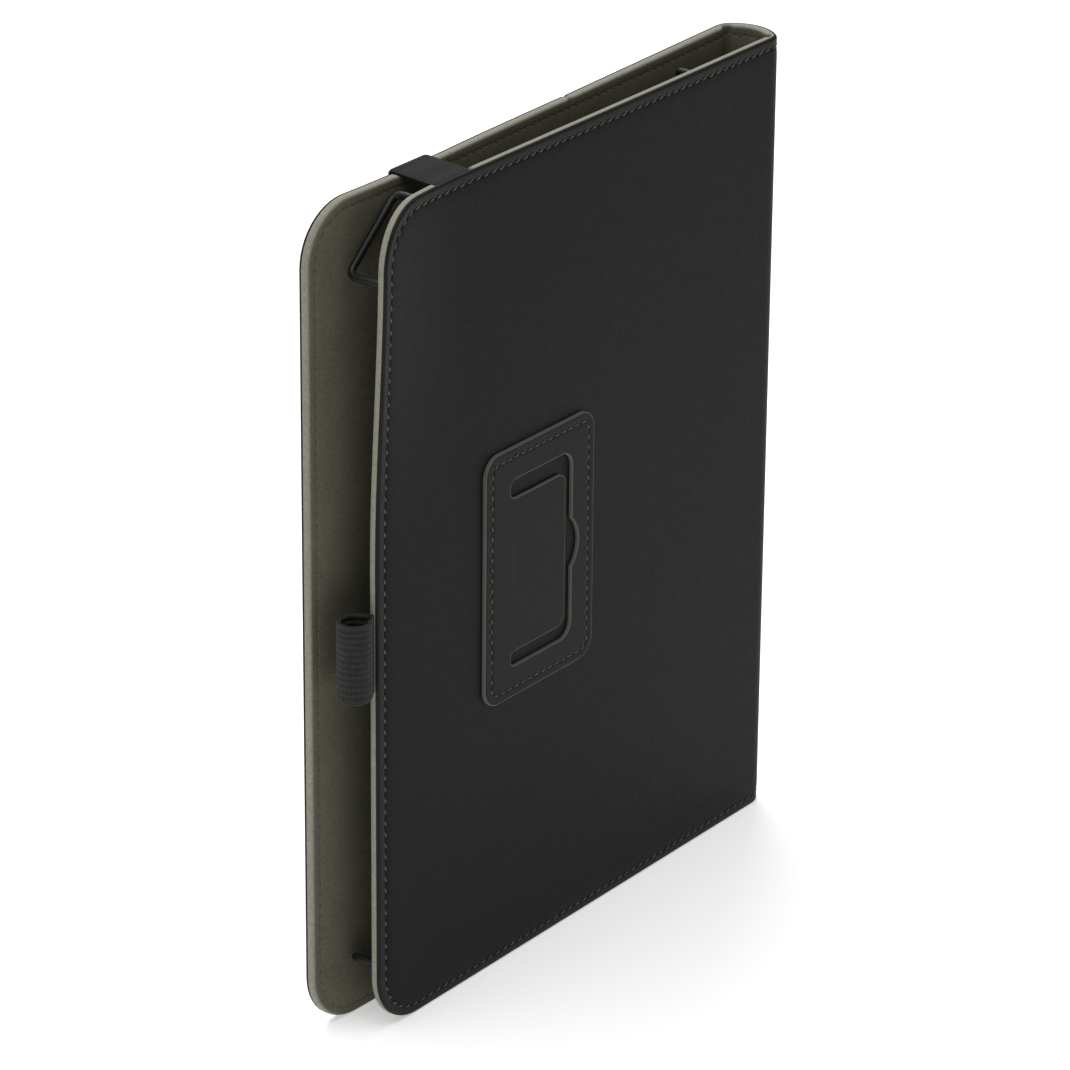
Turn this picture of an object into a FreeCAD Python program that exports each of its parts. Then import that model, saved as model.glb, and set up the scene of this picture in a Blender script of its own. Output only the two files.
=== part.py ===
import FreeCAD, Part

import math
import os

os.makedirs("parts", exist_ok=True)

Vector = FreeCAD.Vector
Z_AXIS = Vector(0, 0, 1)

# A folio case for a tablet, closed and standing on its short bottom edges. Lengths are
# in millimetres. While it is built, X runs from the back cover's free edge to the spine,
# Y from the back cover's outer leather face to the front cover, and Z up from the floor.

# Covers: leather outside, board, lining inside. The board stops short of the sewn hem.
HEIGHT = 260.0
LEATHER = 1.0
BOARD = 1.4
LINING = 1.0
COVER = LEATHER + BOARD + LINING
HEM = 5.0
CORNER_R = 18.0
BACK_END = 192.5
FRONT_OVERHANG = 11.5

# Spine: a convex strip between two living hinges
SPINE_CREST_X = 201.4
SPINE_DEPTH = 21.6
SPINE_R = 13.0
SPINE_HALF_ANGLE = 34.0
SPINE_BOARD_HALF_ANGLE = 28.0
FOLD_SHARPNESS = 0.8

# Front cover: an inner and an outer panel, which lean in towards the free edge
FRONT_FOLD_X = 195.0
FRONT_FOLD_HALF = 3.0
CREASE_U = 83.5
CREASE_HALF = 1.6
CREASE_DIP = 0.7
INNER_LEAN = 1.66
OUTER_LEAN = 0.8

# Closure band: woven elastic, from hem to hem over the front cover
BAND_X = 37.0
BAND_WIDTH = 17.0
BAND_T = 1.0
BAND_SIDE_GAP = 0.3
BAND_GAP = 0.3
BAND_FLOOR_GAP = 0.2
BAND_TAIL = 3.2

# Stand patch on the back cover, with the C-shaped slot that frees its tongue
PATCH_X = (49.0, 102.5)
PATCH_Z = (88.0, 169.0)
PATCH_T = 1.3
PATCH_R = 6.5
SLOT_X = (64.0, 91.5)
SLOT_Z = (98.0, 158.5)
SLOT_R = 5.0
TONGUE_X = (66.0, 88.4)
TONGUE_Z = (102.7, 152.5)
TONGUE_R = 3.5
TONGUE_LIFT = 0.3
THUMB_REACH = 3.5
THUMB_WIDTH = 16.0

# Pen loop: a ribbed elastic loop, sewn into the back cover's free edge
PEN_Z = (112.0, 137.0)
PEN_CENTRE = (-6.4, 3.6)
PEN_R = 5.1
PEN_T = 1.2
PEN_TIP = (-0.2, 1.75)
PEN_TAIL = 4.8
PEN_TAIL_T = 1.4

# Corner loops: elastic cord that holds the tablet's corners
LOOP_D = 2.3
LOOP_SIDE_X = (2.2, 180.8)
LOOP_SIDE_IN = 22.0
LOOP_END_IN = 3.6
LOOP_REACH = 21.3
LOOP_BEND_R = 3.2
LOOP_PIVOT_Y = 4.9
LOOP_TOP_Y = 11.9
ANCHOR_DEPTH = 1.0
ANCHOR_PROUD = 0.2

# Thread: a fine bead on both faces of each sewn edge
SEAM_INSET = 3.1
THREAD_W = 0.5
THREAD_T = 0.25

# Cut tools pass this far beyond what they cut.
PAST = 5.0

nodes = {}


def box(low, high):
    """A box between two corners."""
    size = [b - a for a, b in zip(low, high)]
    return Part.makeBox(size[0], size[1], size[2], Vector(*low))


def rounded_plate(x, y, z, radius, sides=("low", "high")):
    """A plate facing Y, its corners rounded on the low-X side, the high-X side or both."""
    plate = box((x[0], y[0], z[0]), (x[1], y[1], z[1]))
    round_at = {"low": x[0], "high": x[1]}
    edges = []
    for edge in plate.Edges:
        start, end = edge.Vertexes[0].Point, edge.Vertexes[-1].Point
        along_y = abs(start.y - end.y) > abs(start.x - end.x) + abs(start.z - end.z)
        if along_y and any(abs(start.x - round_at[side]) < 1e-6 for side in sides):
            edges.append(edge)
    return plate.makeFillet(radius, edges)


def extruded(points, z):
    """A prism on a closed outline of (x, y) points."""
    corners = [Vector(px, py, z[0]) for px, py in points]
    outline = Part.makePolygon(corners + corners[:1])
    return Part.Face(outline).extrude(Vector(0, 0, z[1] - z[0]))


def placed(shape, place):
    """A copy of a shape, moved by a placement."""
    copy = shape.copy()
    copy.Placement = place.multiply(copy.Placement)
    return copy


def turned_place(x, y, degrees):
    """The placement of a frame at (x, y), turned about the vertical."""
    return FreeCAD.Placement(Vector(x, y, 0), FreeCAD.Rotation(Z_AXIS, degrees))


# In a panel's own frame, x runs along it from its first edge and y goes in from its outer
# face. The back cover's frame is the case's own; the front panels' frames turn half round.
CREASE_X = FRONT_FOLD_X - CREASE_U * math.cos(math.radians(INNER_LEAN))
CREASE_Y = SPINE_DEPTH - CREASE_U * math.sin(math.radians(INNER_LEAN))
BACK_PLACE = turned_place(0, 0, 0)
INNER_PLACE = turned_place(FRONT_FOLD_X, SPINE_DEPTH, 180 + INNER_LEAN)
OUTER_PLACE = turned_place(CREASE_X, CREASE_Y, 180 + OUTER_LEAN)
OUTER_END = (CREASE_X + FRONT_OVERHANG) / math.cos(math.radians(OUTER_LEAN))
SPINE_CENTRE = Vector(SPINE_CREST_X - SPINE_R, SPINE_DEPTH / 2, 0)


def panel_plate(x, y, inset, free_side):
    """One layer of a panel, inset from its top and bottom and rounded at its free edge."""
    z = (inset, HEIGHT - inset)
    if free_side is None:
        return box((x[0], y[0], z[0]), (x[1], y[1], z[1]))
    return rounded_plate(x, y, z, CORNER_R - inset, (free_side,))


def panel_layers(x, free_side):
    """A panel's leather, board and lining. The lining wraps the board's edges."""
    board_x = [x[0], x[1]]
    if free_side == "low":
        board_x[0] += HEM
    if free_side == "high":
        board_x[1] -= HEM
    leather = panel_plate(x, (0, LEATHER), 0, free_side)
    board = panel_plate(board_x, (LEATHER, LEATHER + BOARD), HEM, free_side)
    lining = panel_plate(x, (LEATHER, COVER), 0, free_side).cut(board)
    return leather, board, lining


def panel_seam(x, free_side):
    """The thread along a panel's sewn edges, on its leather and on its lining."""
    runs = []
    for y in ((-THREAD_T, 0), (COVER, COVER + THREAD_T)):
        rings = []
        for inset, past in ((SEAM_INSET - THREAD_W / 2, 0), (SEAM_INSET + THREAD_W / 2, PAST)):
            low = x[0] + inset if free_side == "low" else x[0] - past
            high = x[1] - inset if free_side == "high" else x[1] + past
            rings.append(panel_plate((low, high), (y[0], y[1]), inset, free_side))
        runs += rings[0].cut(rings[1]).Solids
    return Part.makeCompound(runs)


def back_cover():
    """The back cover's layers and seam. Its hem has room for what is sewn into it."""
    leather, board, lining = panel_layers((0, BACK_END), "low")
    for pocket in band_pockets() + [pen_pocket()] + anchor_pockets():
        lining = lining.cut(pocket)
    nodes["back_leather"] = leather
    nodes["back_board"] = board
    nodes["back_lining"] = lining
    nodes["back_seam"] = panel_seam((0, BACK_END), "low").cut(anchor_pockets())


def front_panels():
    """The front cover's two panels. The outer one is notched where the band passes."""
    inner_x = (FRONT_FOLD_HALF, CREASE_U - CREASE_HALF)
    outer_x = (CREASE_HALF, OUTER_END)
    names = ("leather", "board", "lining")
    for name, shape in zip(names, panel_layers(inner_x, None)):
        nodes["inner_panel_" + name] = placed(shape, INNER_PLACE)
    for name, shape in zip(names, panel_layers(outer_x, "high")):
        shape = placed(shape, OUTER_PLACE)
        if name != "board":
            for notch in band_notches():
                shape = shape.cut(notch)
        nodes["outer_panel_" + name] = shape
    nodes["inner_panel_seam"] = placed(panel_seam(inner_x, None), INNER_PLACE)
    nodes["outer_panel_seam"] = placed(panel_seam(outer_x, "high"), OUTER_PLACE)


def arc_point(radius, degrees):
    """A point on a circle about the spine's centre line."""
    turn = math.radians(degrees)
    return SPINE_CENTRE + Vector(radius * math.cos(turn), radius * math.sin(turn), 0)


def spine_sector(outer, inner, half_angle, z):
    """A curved strip of the spine between two radii."""
    arcs = []
    for radius in (outer, inner):
        ends = arc_point(radius, -half_angle), arc_point(radius, half_angle)
        arcs.append(Part.Arc(ends[0], arc_point(radius, 0), ends[1]).toShape())
    sides = [
        Part.makeLine(arc_point(outer, turn), arc_point(inner, turn))
        for turn in (-half_angle, half_angle)
    ]
    outline = Part.Wire(Part.__sortEdges__(arcs + sides))
    strip = Part.Face(outline).extrude(Vector(0, 0, z[1] - z[0]))
    strip.translate(Vector(0, 0, z[0]))
    return strip


def spine():
    """The spine's layers, and its short seams near the top and bottom."""
    board_r = (SPINE_R - LEATHER, SPINE_R - LEATHER - BOARD)
    board = spine_sector(*board_r, SPINE_BOARD_HALF_ANGLE, (HEM, HEIGHT - HEM))
    lining_r = (SPINE_R - LEATHER, SPINE_R - COVER)
    lining = spine_sector(*lining_r, SPINE_HALF_ANGLE, (0, HEIGHT)).cut(board)
    nodes["spine_leather"] = spine_sector(SPINE_R, SPINE_R - LEATHER, SPINE_HALF_ANGLE, (0, HEIGHT))
    nodes["spine_board"] = board
    nodes["spine_lining"] = lining
    runs = []
    for middle in (SEAM_INSET, HEIGHT - SEAM_INSET):
        z = (middle - THREAD_W / 2, middle + THREAD_W / 2)
        for radius in (SPINE_R + THREAD_T, SPINE_R - COVER):
            runs.append(spine_sector(radius, radius - THREAD_T, SPINE_HALF_ANGLE, z))
    nodes["spine_seam"] = Part.makeCompound(runs)


def meeting_point(p, along_p, q, along_q):
    """Where two lines in plan cross."""
    gap = q - p
    cross = along_p.x * along_q.y - along_p.y * along_q.x
    reach = (gap.x * along_q.y - gap.y * along_q.x) / cross
    return p + along_p * reach


def fold_curve(panel_end, along_panel, spine_end, along_spine):
    """A smooth curve that carries a panel's face round into the spine's."""
    corner = meeting_point(panel_end, along_panel, spine_end, along_spine)
    curve = Part.BezierCurve()
    curve.setPoles(
        [
            panel_end,
            panel_end + (corner - panel_end) * FOLD_SHARPNESS,
            spine_end + (corner - spine_end) * FOLD_SHARPNESS,
            spine_end,
        ]
    )
    return curve.toShape()


def fold_strip(place, panel_x, along, spine_angle, depths):
    """One layer of a living hinge, from a panel's end to an end of the spine."""
    along_panel = place.Rotation.multVec(Vector(along, 0, 0))
    turn = math.radians(spine_angle)
    along_spine = Vector(-math.sin(turn), math.cos(turn), 0)
    curves, ends = [], []
    for depth in depths:
        panel_end = place.multVec(Vector(panel_x, depth, 0))
        spine_end = arc_point(SPINE_R - depth, spine_angle)
        curves.append(fold_curve(panel_end, along_panel, spine_end, along_spine))
        ends.append((panel_end, spine_end))
    sides = [Part.makeLine(a, b) for a, b in zip(*ends)]
    outline = Part.Wire(Part.__sortEdges__(curves + sides))
    return Part.Face(outline).extrude(Vector(0, 0, HEIGHT))


def spine_folds():
    """The living hinges on both sides of the spine, where the board leaves off."""
    layers = {"leather": (0, LEATHER), "lining": (LEATHER, LEATHER + LINING)}
    for layer, depths in layers.items():
        nodes["back_fold_" + layer] = fold_strip(
            BACK_PLACE, BACK_END, 1, -SPINE_HALF_ANGLE, depths
        )
        nodes["front_fold_" + layer] = fold_strip(
            INNER_PLACE, FRONT_FOLD_HALF, -1, SPINE_HALF_ANGLE, depths
        )


def crease():
    """The pressed crease between the front cover's panels."""
    for layer, faces in {"leather": (0, LEATHER), "lining": (LEATHER, COVER)}.items():
        outer = INNER_PLACE.multVec(Vector(CREASE_U - CREASE_HALF, faces[0], 0))
        inner = INNER_PLACE.multVec(Vector(CREASE_U - CREASE_HALF, faces[1], 0))
        far_outer = OUTER_PLACE.multVec(Vector(CREASE_HALF, faces[0], 0))
        far_inner = OUTER_PLACE.multVec(Vector(CREASE_HALF, faces[1], 0))
        inner_dip = CREASE_DIP if layer == "leather" else -CREASE_DIP
        dip = INNER_PLACE.multVec(Vector(CREASE_U, faces[0] + CREASE_DIP, 0))
        inner_bottom = INNER_PLACE.multVec(Vector(CREASE_U, faces[1] + inner_dip, 0))
        outline = (outer, dip, far_outer, far_inner, inner_bottom, inner)
        nodes["crease_" + layer] = extruded([(p.x, p.y) for p in outline], (0, HEIGHT))


def band_span():
    """The band's low and high X."""
    return BAND_X - BAND_WIDTH / 2, BAND_X + BAND_WIDTH / 2


def band_notches():
    """The notches that let the band lie flush in the front cover's top and bottom."""
    depth = BAND_FLOOR_GAP + BAND_T + BAND_GAP
    low, high = band_span()
    x = (low - BAND_SIDE_GAP, high + BAND_SIDE_GAP)
    y = (SPINE_DEPTH / 2, SPINE_DEPTH + PAST)
    bottom = box((x[0], y[0], -PAST), (x[1], y[1], depth))
    top = box((x[0], y[0], HEIGHT - depth), (x[1], y[1], HEIGHT + PAST))
    return [bottom, top]


def band_pockets():
    """The room in the back cover's hem for the band and its two sewn tails."""
    depth = BAND_FLOOR_GAP + BAND_T + BAND_GAP
    low, high = band_span()
    x = (low - BAND_SIDE_GAP, high + BAND_SIDE_GAP)
    y = (LEATHER, LEATHER + BAND_T)
    pockets = []
    for edge, inwards in ((0, 1), (HEIGHT, -1)):
        mouth = sorted((edge - inwards * PAST, edge + inwards * depth))
        tail = sorted((edge, edge + inwards * (depth + BAND_TAIL)))
        pockets.append(box((x[0], LEATHER, mouth[0]), (x[1], COVER + PAST, mouth[1])))
        pockets.append(box((low, y[0], tail[0]), (high, y[1], tail[1])))
    return pockets


def closure_band():
    """The band's sewn tails and its three runs, over the top, down the front and under."""
    low, high = band_span()
    across = OUTER_PLACE.inverse().multVec(Vector(BAND_X, 0, 0)).x
    half = BAND_WIDTH / 2
    depth = BAND_FLOOR_GAP + BAND_T + BAND_GAP
    front = box(
        (across - half, -BAND_GAP - BAND_T, BAND_FLOOR_GAP),
        (across + half, -BAND_GAP, HEIGHT - BAND_FLOOR_GAP),
    )
    front = placed(front, OUTER_PLACE)
    nodes["band_front_run"] = front
    ends = {"bottom": (0, 1), "top": (HEIGHT, -1)}
    for name, (edge, inwards) in ends.items():
        run_z = sorted((edge + inwards * BAND_FLOOR_GAP, edge + inwards * (depth - BAND_GAP)))
        run = box((low, LEATHER, run_z[0]), (high, front.BoundBox.YMax, run_z[1]))
        beyond = placed(
            box((0, -PAST, -PAST), (OUTER_END, -BAND_GAP, HEIGHT + PAST)), OUTER_PLACE
        )
        nodes["band_" + name + "_run"] = run.cut(beyond)
        tail_z = sorted((edge + inwards * depth, edge + inwards * (depth + BAND_TAIL)))
        nodes["band_" + name + "_tail"] = box(
            (low, LEATHER, tail_z[0]), (high, LEATHER + BAND_T, tail_z[1])
        )


def stand_patch():
    """The sewn patch, its C-shaped slot with a thumb notch, its tongue and its seam."""
    patch_y = (-PATCH_T, 0)
    reach = (THUMB_WIDTH / 2) ** 2 + THUMB_REACH**2
    thumb_r = reach / (2 * THUMB_REACH)
    middle_z = (SLOT_Z[0] + SLOT_Z[1]) / 2
    slot_y = (-PATCH_T - PAST, PAST)
    slot = rounded_plate(SLOT_X, slot_y, SLOT_Z, SLOT_R, ("high",))
    rounds = [(SLOT_X[1] + THUMB_REACH - thumb_r, middle_z, thumb_r)]
    for slot_edge, tongue_edge in zip(SLOT_Z, TONGUE_Z):
        arm_r = abs(slot_edge - tongue_edge) / 2
        rounds.append((SLOT_X[0], (slot_edge + tongue_edge) / 2, arm_r))
    length = slot_y[1] - slot_y[0]
    for x, z, radius in rounds:
        round_end = Part.makeCylinder(radius, length, Vector(x, slot_y[0], z), Vector(0, 1, 0))
        slot = slot.fuse(round_end)
    plate = rounded_plate(PATCH_X, patch_y, PATCH_Z, PATCH_R)
    nodes["stand_patch"] = plate.cut(slot)
    tongue_y = (-PATCH_T, -TONGUE_LIFT)
    nodes["stand_tongue"] = rounded_plate(TONGUE_X, tongue_y, TONGUE_Z, TONGUE_R, ("high",))
    nodes["tongue_fold"] = box(
        (SLOT_X[0], tongue_y[0], TONGUE_Z[0]), (TONGUE_X[0], tongue_y[1], TONGUE_Z[1])
    )
    rings = []
    for inset in (SEAM_INSET - THREAD_W / 2, SEAM_INSET + THREAD_W / 2):
        x = (PATCH_X[0] + inset, PATCH_X[1] - inset)
        z = (PATCH_Z[0] + inset, PATCH_Z[1] - inset)
        y = (-PATCH_T - THREAD_T, -PATCH_T)
        rings.append(rounded_plate(x, y, z, PATCH_R - inset))
    nodes["patch_seam"] = rings[0].cut(rings[1])


def teardrop(centre, radius, tip, z):
    """A prism on a circle drawn out to a point by two tangents."""
    middle = Vector(centre[0], centre[1], z[0])
    point = Vector(tip[0], tip[1], z[0])
    out = point - middle
    heading = math.atan2(out.y, out.x)
    spread = math.acos(radius / out.Length)
    touches = []
    for turn in (heading + spread, heading + math.pi, heading - spread):
        touches.append(middle + Vector(math.cos(turn), math.sin(turn), 0) * radius)
    edges = [
        Part.Arc(*touches).toShape(),
        Part.makeLine(touches[2], point),
        Part.makeLine(point, touches[0]),
    ]
    return Part.Face(Part.Wire(edges)).extrude(Vector(0, 0, z[1] - z[0]))


def pen_tail(grow):
    """The pen loop's two ends, laid together in the hem."""
    y = (LEATHER, LEATHER + PEN_TAIL_T)
    return box((PEN_TIP[0] - grow, y[0], PEN_Z[0]), (PEN_TAIL, y[1], PEN_Z[1]))


def pen_pocket():
    """The room for the pen loop's tail in the back cover's hem."""
    return pen_tail(PAST)


def pen_loop():
    """The elastic pen loop, open at its top and bottom."""
    out = Vector(PEN_TIP[0] - PEN_CENTRE[0], PEN_TIP[1] - PEN_CENTRE[1], 0)
    half_angle = math.asin(PEN_R / out.Length)
    inner_tip = Vector(PEN_TIP[0], PEN_TIP[1], 0) - out.normalize() * PEN_T / math.sin(half_angle)
    past_z = (PEN_Z[0] - PAST, PEN_Z[1] + PAST)
    wall = teardrop(PEN_CENTRE, PEN_R, PEN_TIP, PEN_Z)
    hole = teardrop(PEN_CENTRE, PEN_R - PEN_T, (inner_tip.x, inner_tip.y), past_z)
    tail = pen_tail(LEATHER)
    nodes["pen_loop"] = wall.fuse(tail).cut(hole).removeSplitter()


def loop_ends(side, end):
    """Where a corner loop's two legs stand: near the cover's side, and near its end."""
    side_x = LOOP_SIDE_X[0] if side == "free" else LOOP_SIDE_X[1]
    inwards = 1 if side == "free" else -1
    edge = HEIGHT if end == "top" else 0
    down = -1 if end == "top" else 1
    at_side = Vector(side_x, 0, edge + down * LOOP_SIDE_IN)
    at_end = Vector(side_x + inwards * LOOP_REACH, 0, edge + down * LOOP_END_IN)
    return at_side, at_end


def loop_corners():
    """The four corners that have a loop."""
    return [(side, end) for side in ("free", "spine") for end in ("top", "bottom")]


def anchor_posts(length, low_y):
    """Short cord ends that stand in the lining, a pair for each corner."""
    pairs = {}
    for side, end in loop_corners():
        feet = [foot + Vector(0, low_y, 0) for foot in loop_ends(side, end)]
        posts = [Part.makeCylinder(LOOP_D / 2, length, foot, Vector(0, 1, 0)) for foot in feet]
        pairs[side + "_" + end] = posts
    return pairs


def anchor_pockets():
    """The holes in the lining that the cord ends are sewn into."""
    pairs = anchor_posts(ANCHOR_DEPTH + PAST, COVER - ANCHOR_DEPTH)
    return [post for pair in pairs.values() for post in pair]


def corner_loops():
    """Each corner's cord loop, and the sewn cord ends that it turns about."""
    posts = anchor_posts(ANCHOR_DEPTH + ANCHOR_PROUD, COVER - ANCHOR_DEPTH)
    radius = LOOP_D / 2
    for side, end in loop_corners():
        name = side + "_" + end
        nodes["loop_anchor_" + name] = Part.makeCompound(posts[name])
        feet = loop_ends(side, end)
        low = [foot + Vector(0, LOOP_PIVOT_Y, 0) for foot in feet]
        high = [foot + Vector(0, LOOP_TOP_Y, 0) for foot in feet]
        route = rounded_route([low[0], high[0], high[1], low[1]], LOOP_BEND_R)
        ring = Part.Wire(Part.makeCircle(radius, low[0], Vector(0, 1, 0)))
        cord = route.makePipeShell([ring], True, True)
        for foot in low:
            cord = cord.fuse(Part.makeSphere(radius, foot))
        nodes["corner_loop_" + name] = cord


def rounded_route(points, radius):
    """Straight runs through the points, joined by tangent arcs."""
    edges = []
    start = points[0]
    for before, corner, after in zip(points, points[1:], points[2:]):
        back = (before - corner).normalize()
        ahead = (after - corner).normalize()
        half = back.getAngle(ahead) / 2
        reach = radius / math.tan(half)
        middle_way = (back + ahead).normalize()
        middle = corner + middle_way * (radius / math.sin(half) - radius)
        entry, leave = corner + back * reach, corner + ahead * reach
        edges.append(Part.makeLine(start, entry))
        edges.append(Part.Arc(entry, middle, leave).toShape())
        start = leave
    edges.append(Part.makeLine(start, points[-1]))
    return Part.Wire(edges)


def main():
    """Build every piece, put the origin on the floor under the middle, and write it."""
    back_cover()
    front_panels()
    spine()
    spine_folds()
    crease()
    closure_band()
    stand_patch()
    pen_loop()
    corner_loops()
    whole = Part.makeCompound(list(nodes.values())).BoundBox
    to_origin = Vector(-whole.Center.x, -whole.Center.y, -whole.ZMin)
    for name, shape in nodes.items():
        shape.translate(to_origin)
        shape.exportStep("parts/" + name + ".step")
        print(name, len(shape.Solids), round(shape.Volume, 1), shape.isValid())


main()
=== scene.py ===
import logging
import math
from dataclasses import dataclass
from enum import Enum
from typing import Callable, Iterator, NamedTuple

import bmesh
import bpy
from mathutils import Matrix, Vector, geometry


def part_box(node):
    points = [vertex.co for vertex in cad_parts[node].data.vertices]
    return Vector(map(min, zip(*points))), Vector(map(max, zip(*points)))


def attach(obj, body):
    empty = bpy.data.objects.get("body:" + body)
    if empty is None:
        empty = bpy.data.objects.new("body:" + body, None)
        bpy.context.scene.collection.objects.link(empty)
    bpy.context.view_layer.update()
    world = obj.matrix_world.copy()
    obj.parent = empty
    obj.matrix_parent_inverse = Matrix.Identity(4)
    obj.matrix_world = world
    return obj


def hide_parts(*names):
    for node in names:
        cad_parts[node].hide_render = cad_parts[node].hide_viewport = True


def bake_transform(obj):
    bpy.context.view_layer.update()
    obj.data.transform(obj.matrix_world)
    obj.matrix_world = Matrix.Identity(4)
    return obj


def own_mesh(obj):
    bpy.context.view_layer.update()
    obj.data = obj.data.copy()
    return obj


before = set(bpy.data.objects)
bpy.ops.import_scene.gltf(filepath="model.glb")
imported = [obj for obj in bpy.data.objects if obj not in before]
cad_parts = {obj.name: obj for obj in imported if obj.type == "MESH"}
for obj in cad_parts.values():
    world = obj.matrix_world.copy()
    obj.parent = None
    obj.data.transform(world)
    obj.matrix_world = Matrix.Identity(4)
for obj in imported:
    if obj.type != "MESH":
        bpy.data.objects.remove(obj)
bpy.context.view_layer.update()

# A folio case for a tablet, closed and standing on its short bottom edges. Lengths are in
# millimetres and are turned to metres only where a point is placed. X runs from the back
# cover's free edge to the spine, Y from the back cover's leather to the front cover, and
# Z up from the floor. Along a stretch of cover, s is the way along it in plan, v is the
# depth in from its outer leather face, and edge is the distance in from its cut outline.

MM = 0.001
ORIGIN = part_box("back_leather")[0]
log = logging.getLogger("folio")


def row(x: float, y: float, z: float) -> Vector:
    """A point in millimetres from the back cover's free bottom corner, in the shared frame."""
    return ORIGIN + Vector((x, y, z)) * MM


def extent(node: str) -> tuple[Vector, Vector]:
    """A node's lowest and highest corners, in millimetres from the same corner."""
    low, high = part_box(node)
    return (low - ORIGIN) / MM, (high - ORIGIN) / MM


def smooth(low: float, high: float, value: float) -> float:
    """A soft step from 0 at low to 1 at high."""
    share = min(1.0, max(0.0, (value - low) / (high - low)))
    return share * share * (3 - 2 * share)


def spread(low: float, high: float, step: float) -> list[float]:
    """Even places from low to high, at most step apart.

    Args:
        low: The first place.
        high: The last place.
        step: The widest gap allowed.

    Returns:
        The places, both ends included.
    """
    count = max(1, math.ceil(abs(high - low) / step))
    return [low + (high - low) * i / count for i in range(count + 1)]


# ---------------------------------------------------------------- colour and nodes


def linear(hex_colour: str) -> tuple[float, float, float, float]:
    """Turn an sRGB hex colour to linear light.

    Args:
        hex_colour: Six hex digits after a hash.

    Returns:
        Red, green, blue and an alpha of 1.
    """
    channels = [int(hex_colour[i : i + 2], 16) / 255 for i in (1, 3, 5)]
    lit = [c / 12.92 if c <= 0.04045 else ((c + 0.055) / 1.055) ** 2.4 for c in channels]
    return lit[0], lit[1], lit[2], 1.0


def add_node(
    tree: bpy.types.NodeTree, kind: str, links: dict | None = None, **settings: object
) -> bpy.types.Node:
    """Add a node with its settings and links.

    Args:
        tree: The node tree it goes in.
        kind: The node's type.
        links: Each input by name or number, with a value or another node's output.
        settings: Values for the node's own properties.

    Returns:
        The new node.
    """
    node = tree.nodes.new(kind)
    for name, value in settings.items():
        setattr(node, name, value)
    for name, source in (links or {}).items():
        if isinstance(source, bpy.types.NodeSocket):
            tree.links.new(source, node.inputs[name])
        else:
            node.inputs[name].default_value = source
    return node


class Surface(NamedTuple):
    """A material's tree while it is being made, with the nodes that every finish uses."""

    tree: bpy.types.NodeTree
    shader: bpy.types.Node
    place: bpy.types.NodeSocket
    edge: bpy.types.NodeSocket
    cloth: bpy.types.NodeSocket

    def noise(self, size_mm: float, detail: float = 4.0, source: object = None) -> object:
        """Noise whose blotches are about size_mm across."""
        scale = 1 / (size_mm * MM)
        links = {"Vector": source or self.place, "Scale": scale, "Detail": detail}
        return add_node(self.tree, "ShaderNodeTexNoise", links).outputs["Fac"]

    def remap(self, value: object, old: tuple, new: tuple) -> object:
        """A value taken from one range to another, and held inside it."""
        links = {0: value, 1: old[0], 2: old[1], 3: new[0], 4: new[1]}
        return add_node(self.tree, "ShaderNodeMapRange", links).outputs[0]

    def math(self, operation: str, a: object, b: object) -> object:
        """Arithmetic on two values."""
        return add_node(
            self.tree, "ShaderNodeMath", {0: a, 1: b}, operation=operation
        ).outputs[0]

    def mix(self, share: object, low: object, high: object) -> object:
        """A blend of two colours."""
        links = {"Factor": share, "A": low, "B": high}
        node = add_node(self.tree, "ShaderNodeMix", data_type="RGBA")
        for socket in node.inputs:
            if socket.enabled and socket.name in links:
                source = links[socket.name]
                if isinstance(source, bpy.types.NodeSocket):
                    self.tree.links.new(source, socket)
                else:
                    socket.default_value = source
        return next(s for s in node.outputs if s.enabled)

    def bump(self, height: object, depth_mm: float, under: object = None) -> object:
        """Relief of depth_mm from a height of 0 to 1, laid over other relief."""
        links = {"Height": height, "Distance": depth_mm * MM, "Strength": 1.0}
        if under is not None:
            links["Normal"] = under
        return add_node(self.tree, "ShaderNodeBump", links).outputs["Normal"]

    def feed(self, **sources: object) -> None:
        """Give the shader its values by socket name, with _ for a space."""
        for name, source in sources.items():
            socket = self.shader.inputs[name.replace("_", " ")]
            if isinstance(source, bpy.types.NodeSocket):
                self.tree.links.new(source, socket)
            else:
                socket.default_value = source


@dataclass(frozen=True)
class Finish:
    """What a piece is made of. Each kind says how its surface was made in dress()."""

    name: str
    slot: str
    colour: str

    def dress(self, surface: Surface) -> None:
        """Wire the surface's colour, gloss and relief."""
        raise NotImplementedError

    def material(self) -> bpy.types.Material:
        """Make the material, or find it if it is made already.

        Returns:
            The material.
        """
        made = bpy.data.materials.get(self.name)
        if made:
            return made
        made = bpy.data.materials.new(self.name)
        made.use_nodes = True
        tree = made.node_tree
        shader = tree.nodes["Principled BSDF"]
        place = add_node(tree, "ShaderNodeTexCoord").outputs["Object"]
        edge = add_node(tree, "ShaderNodeAttribute", attribute_name="edge_mm").outputs["Fac"]
        cloth = add_node(tree, "ShaderNodeUVMap", uv_map="cloth").outputs["UV"]
        self.dress(Surface(tree, shader, place, edge, cloth))
        return made


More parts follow.
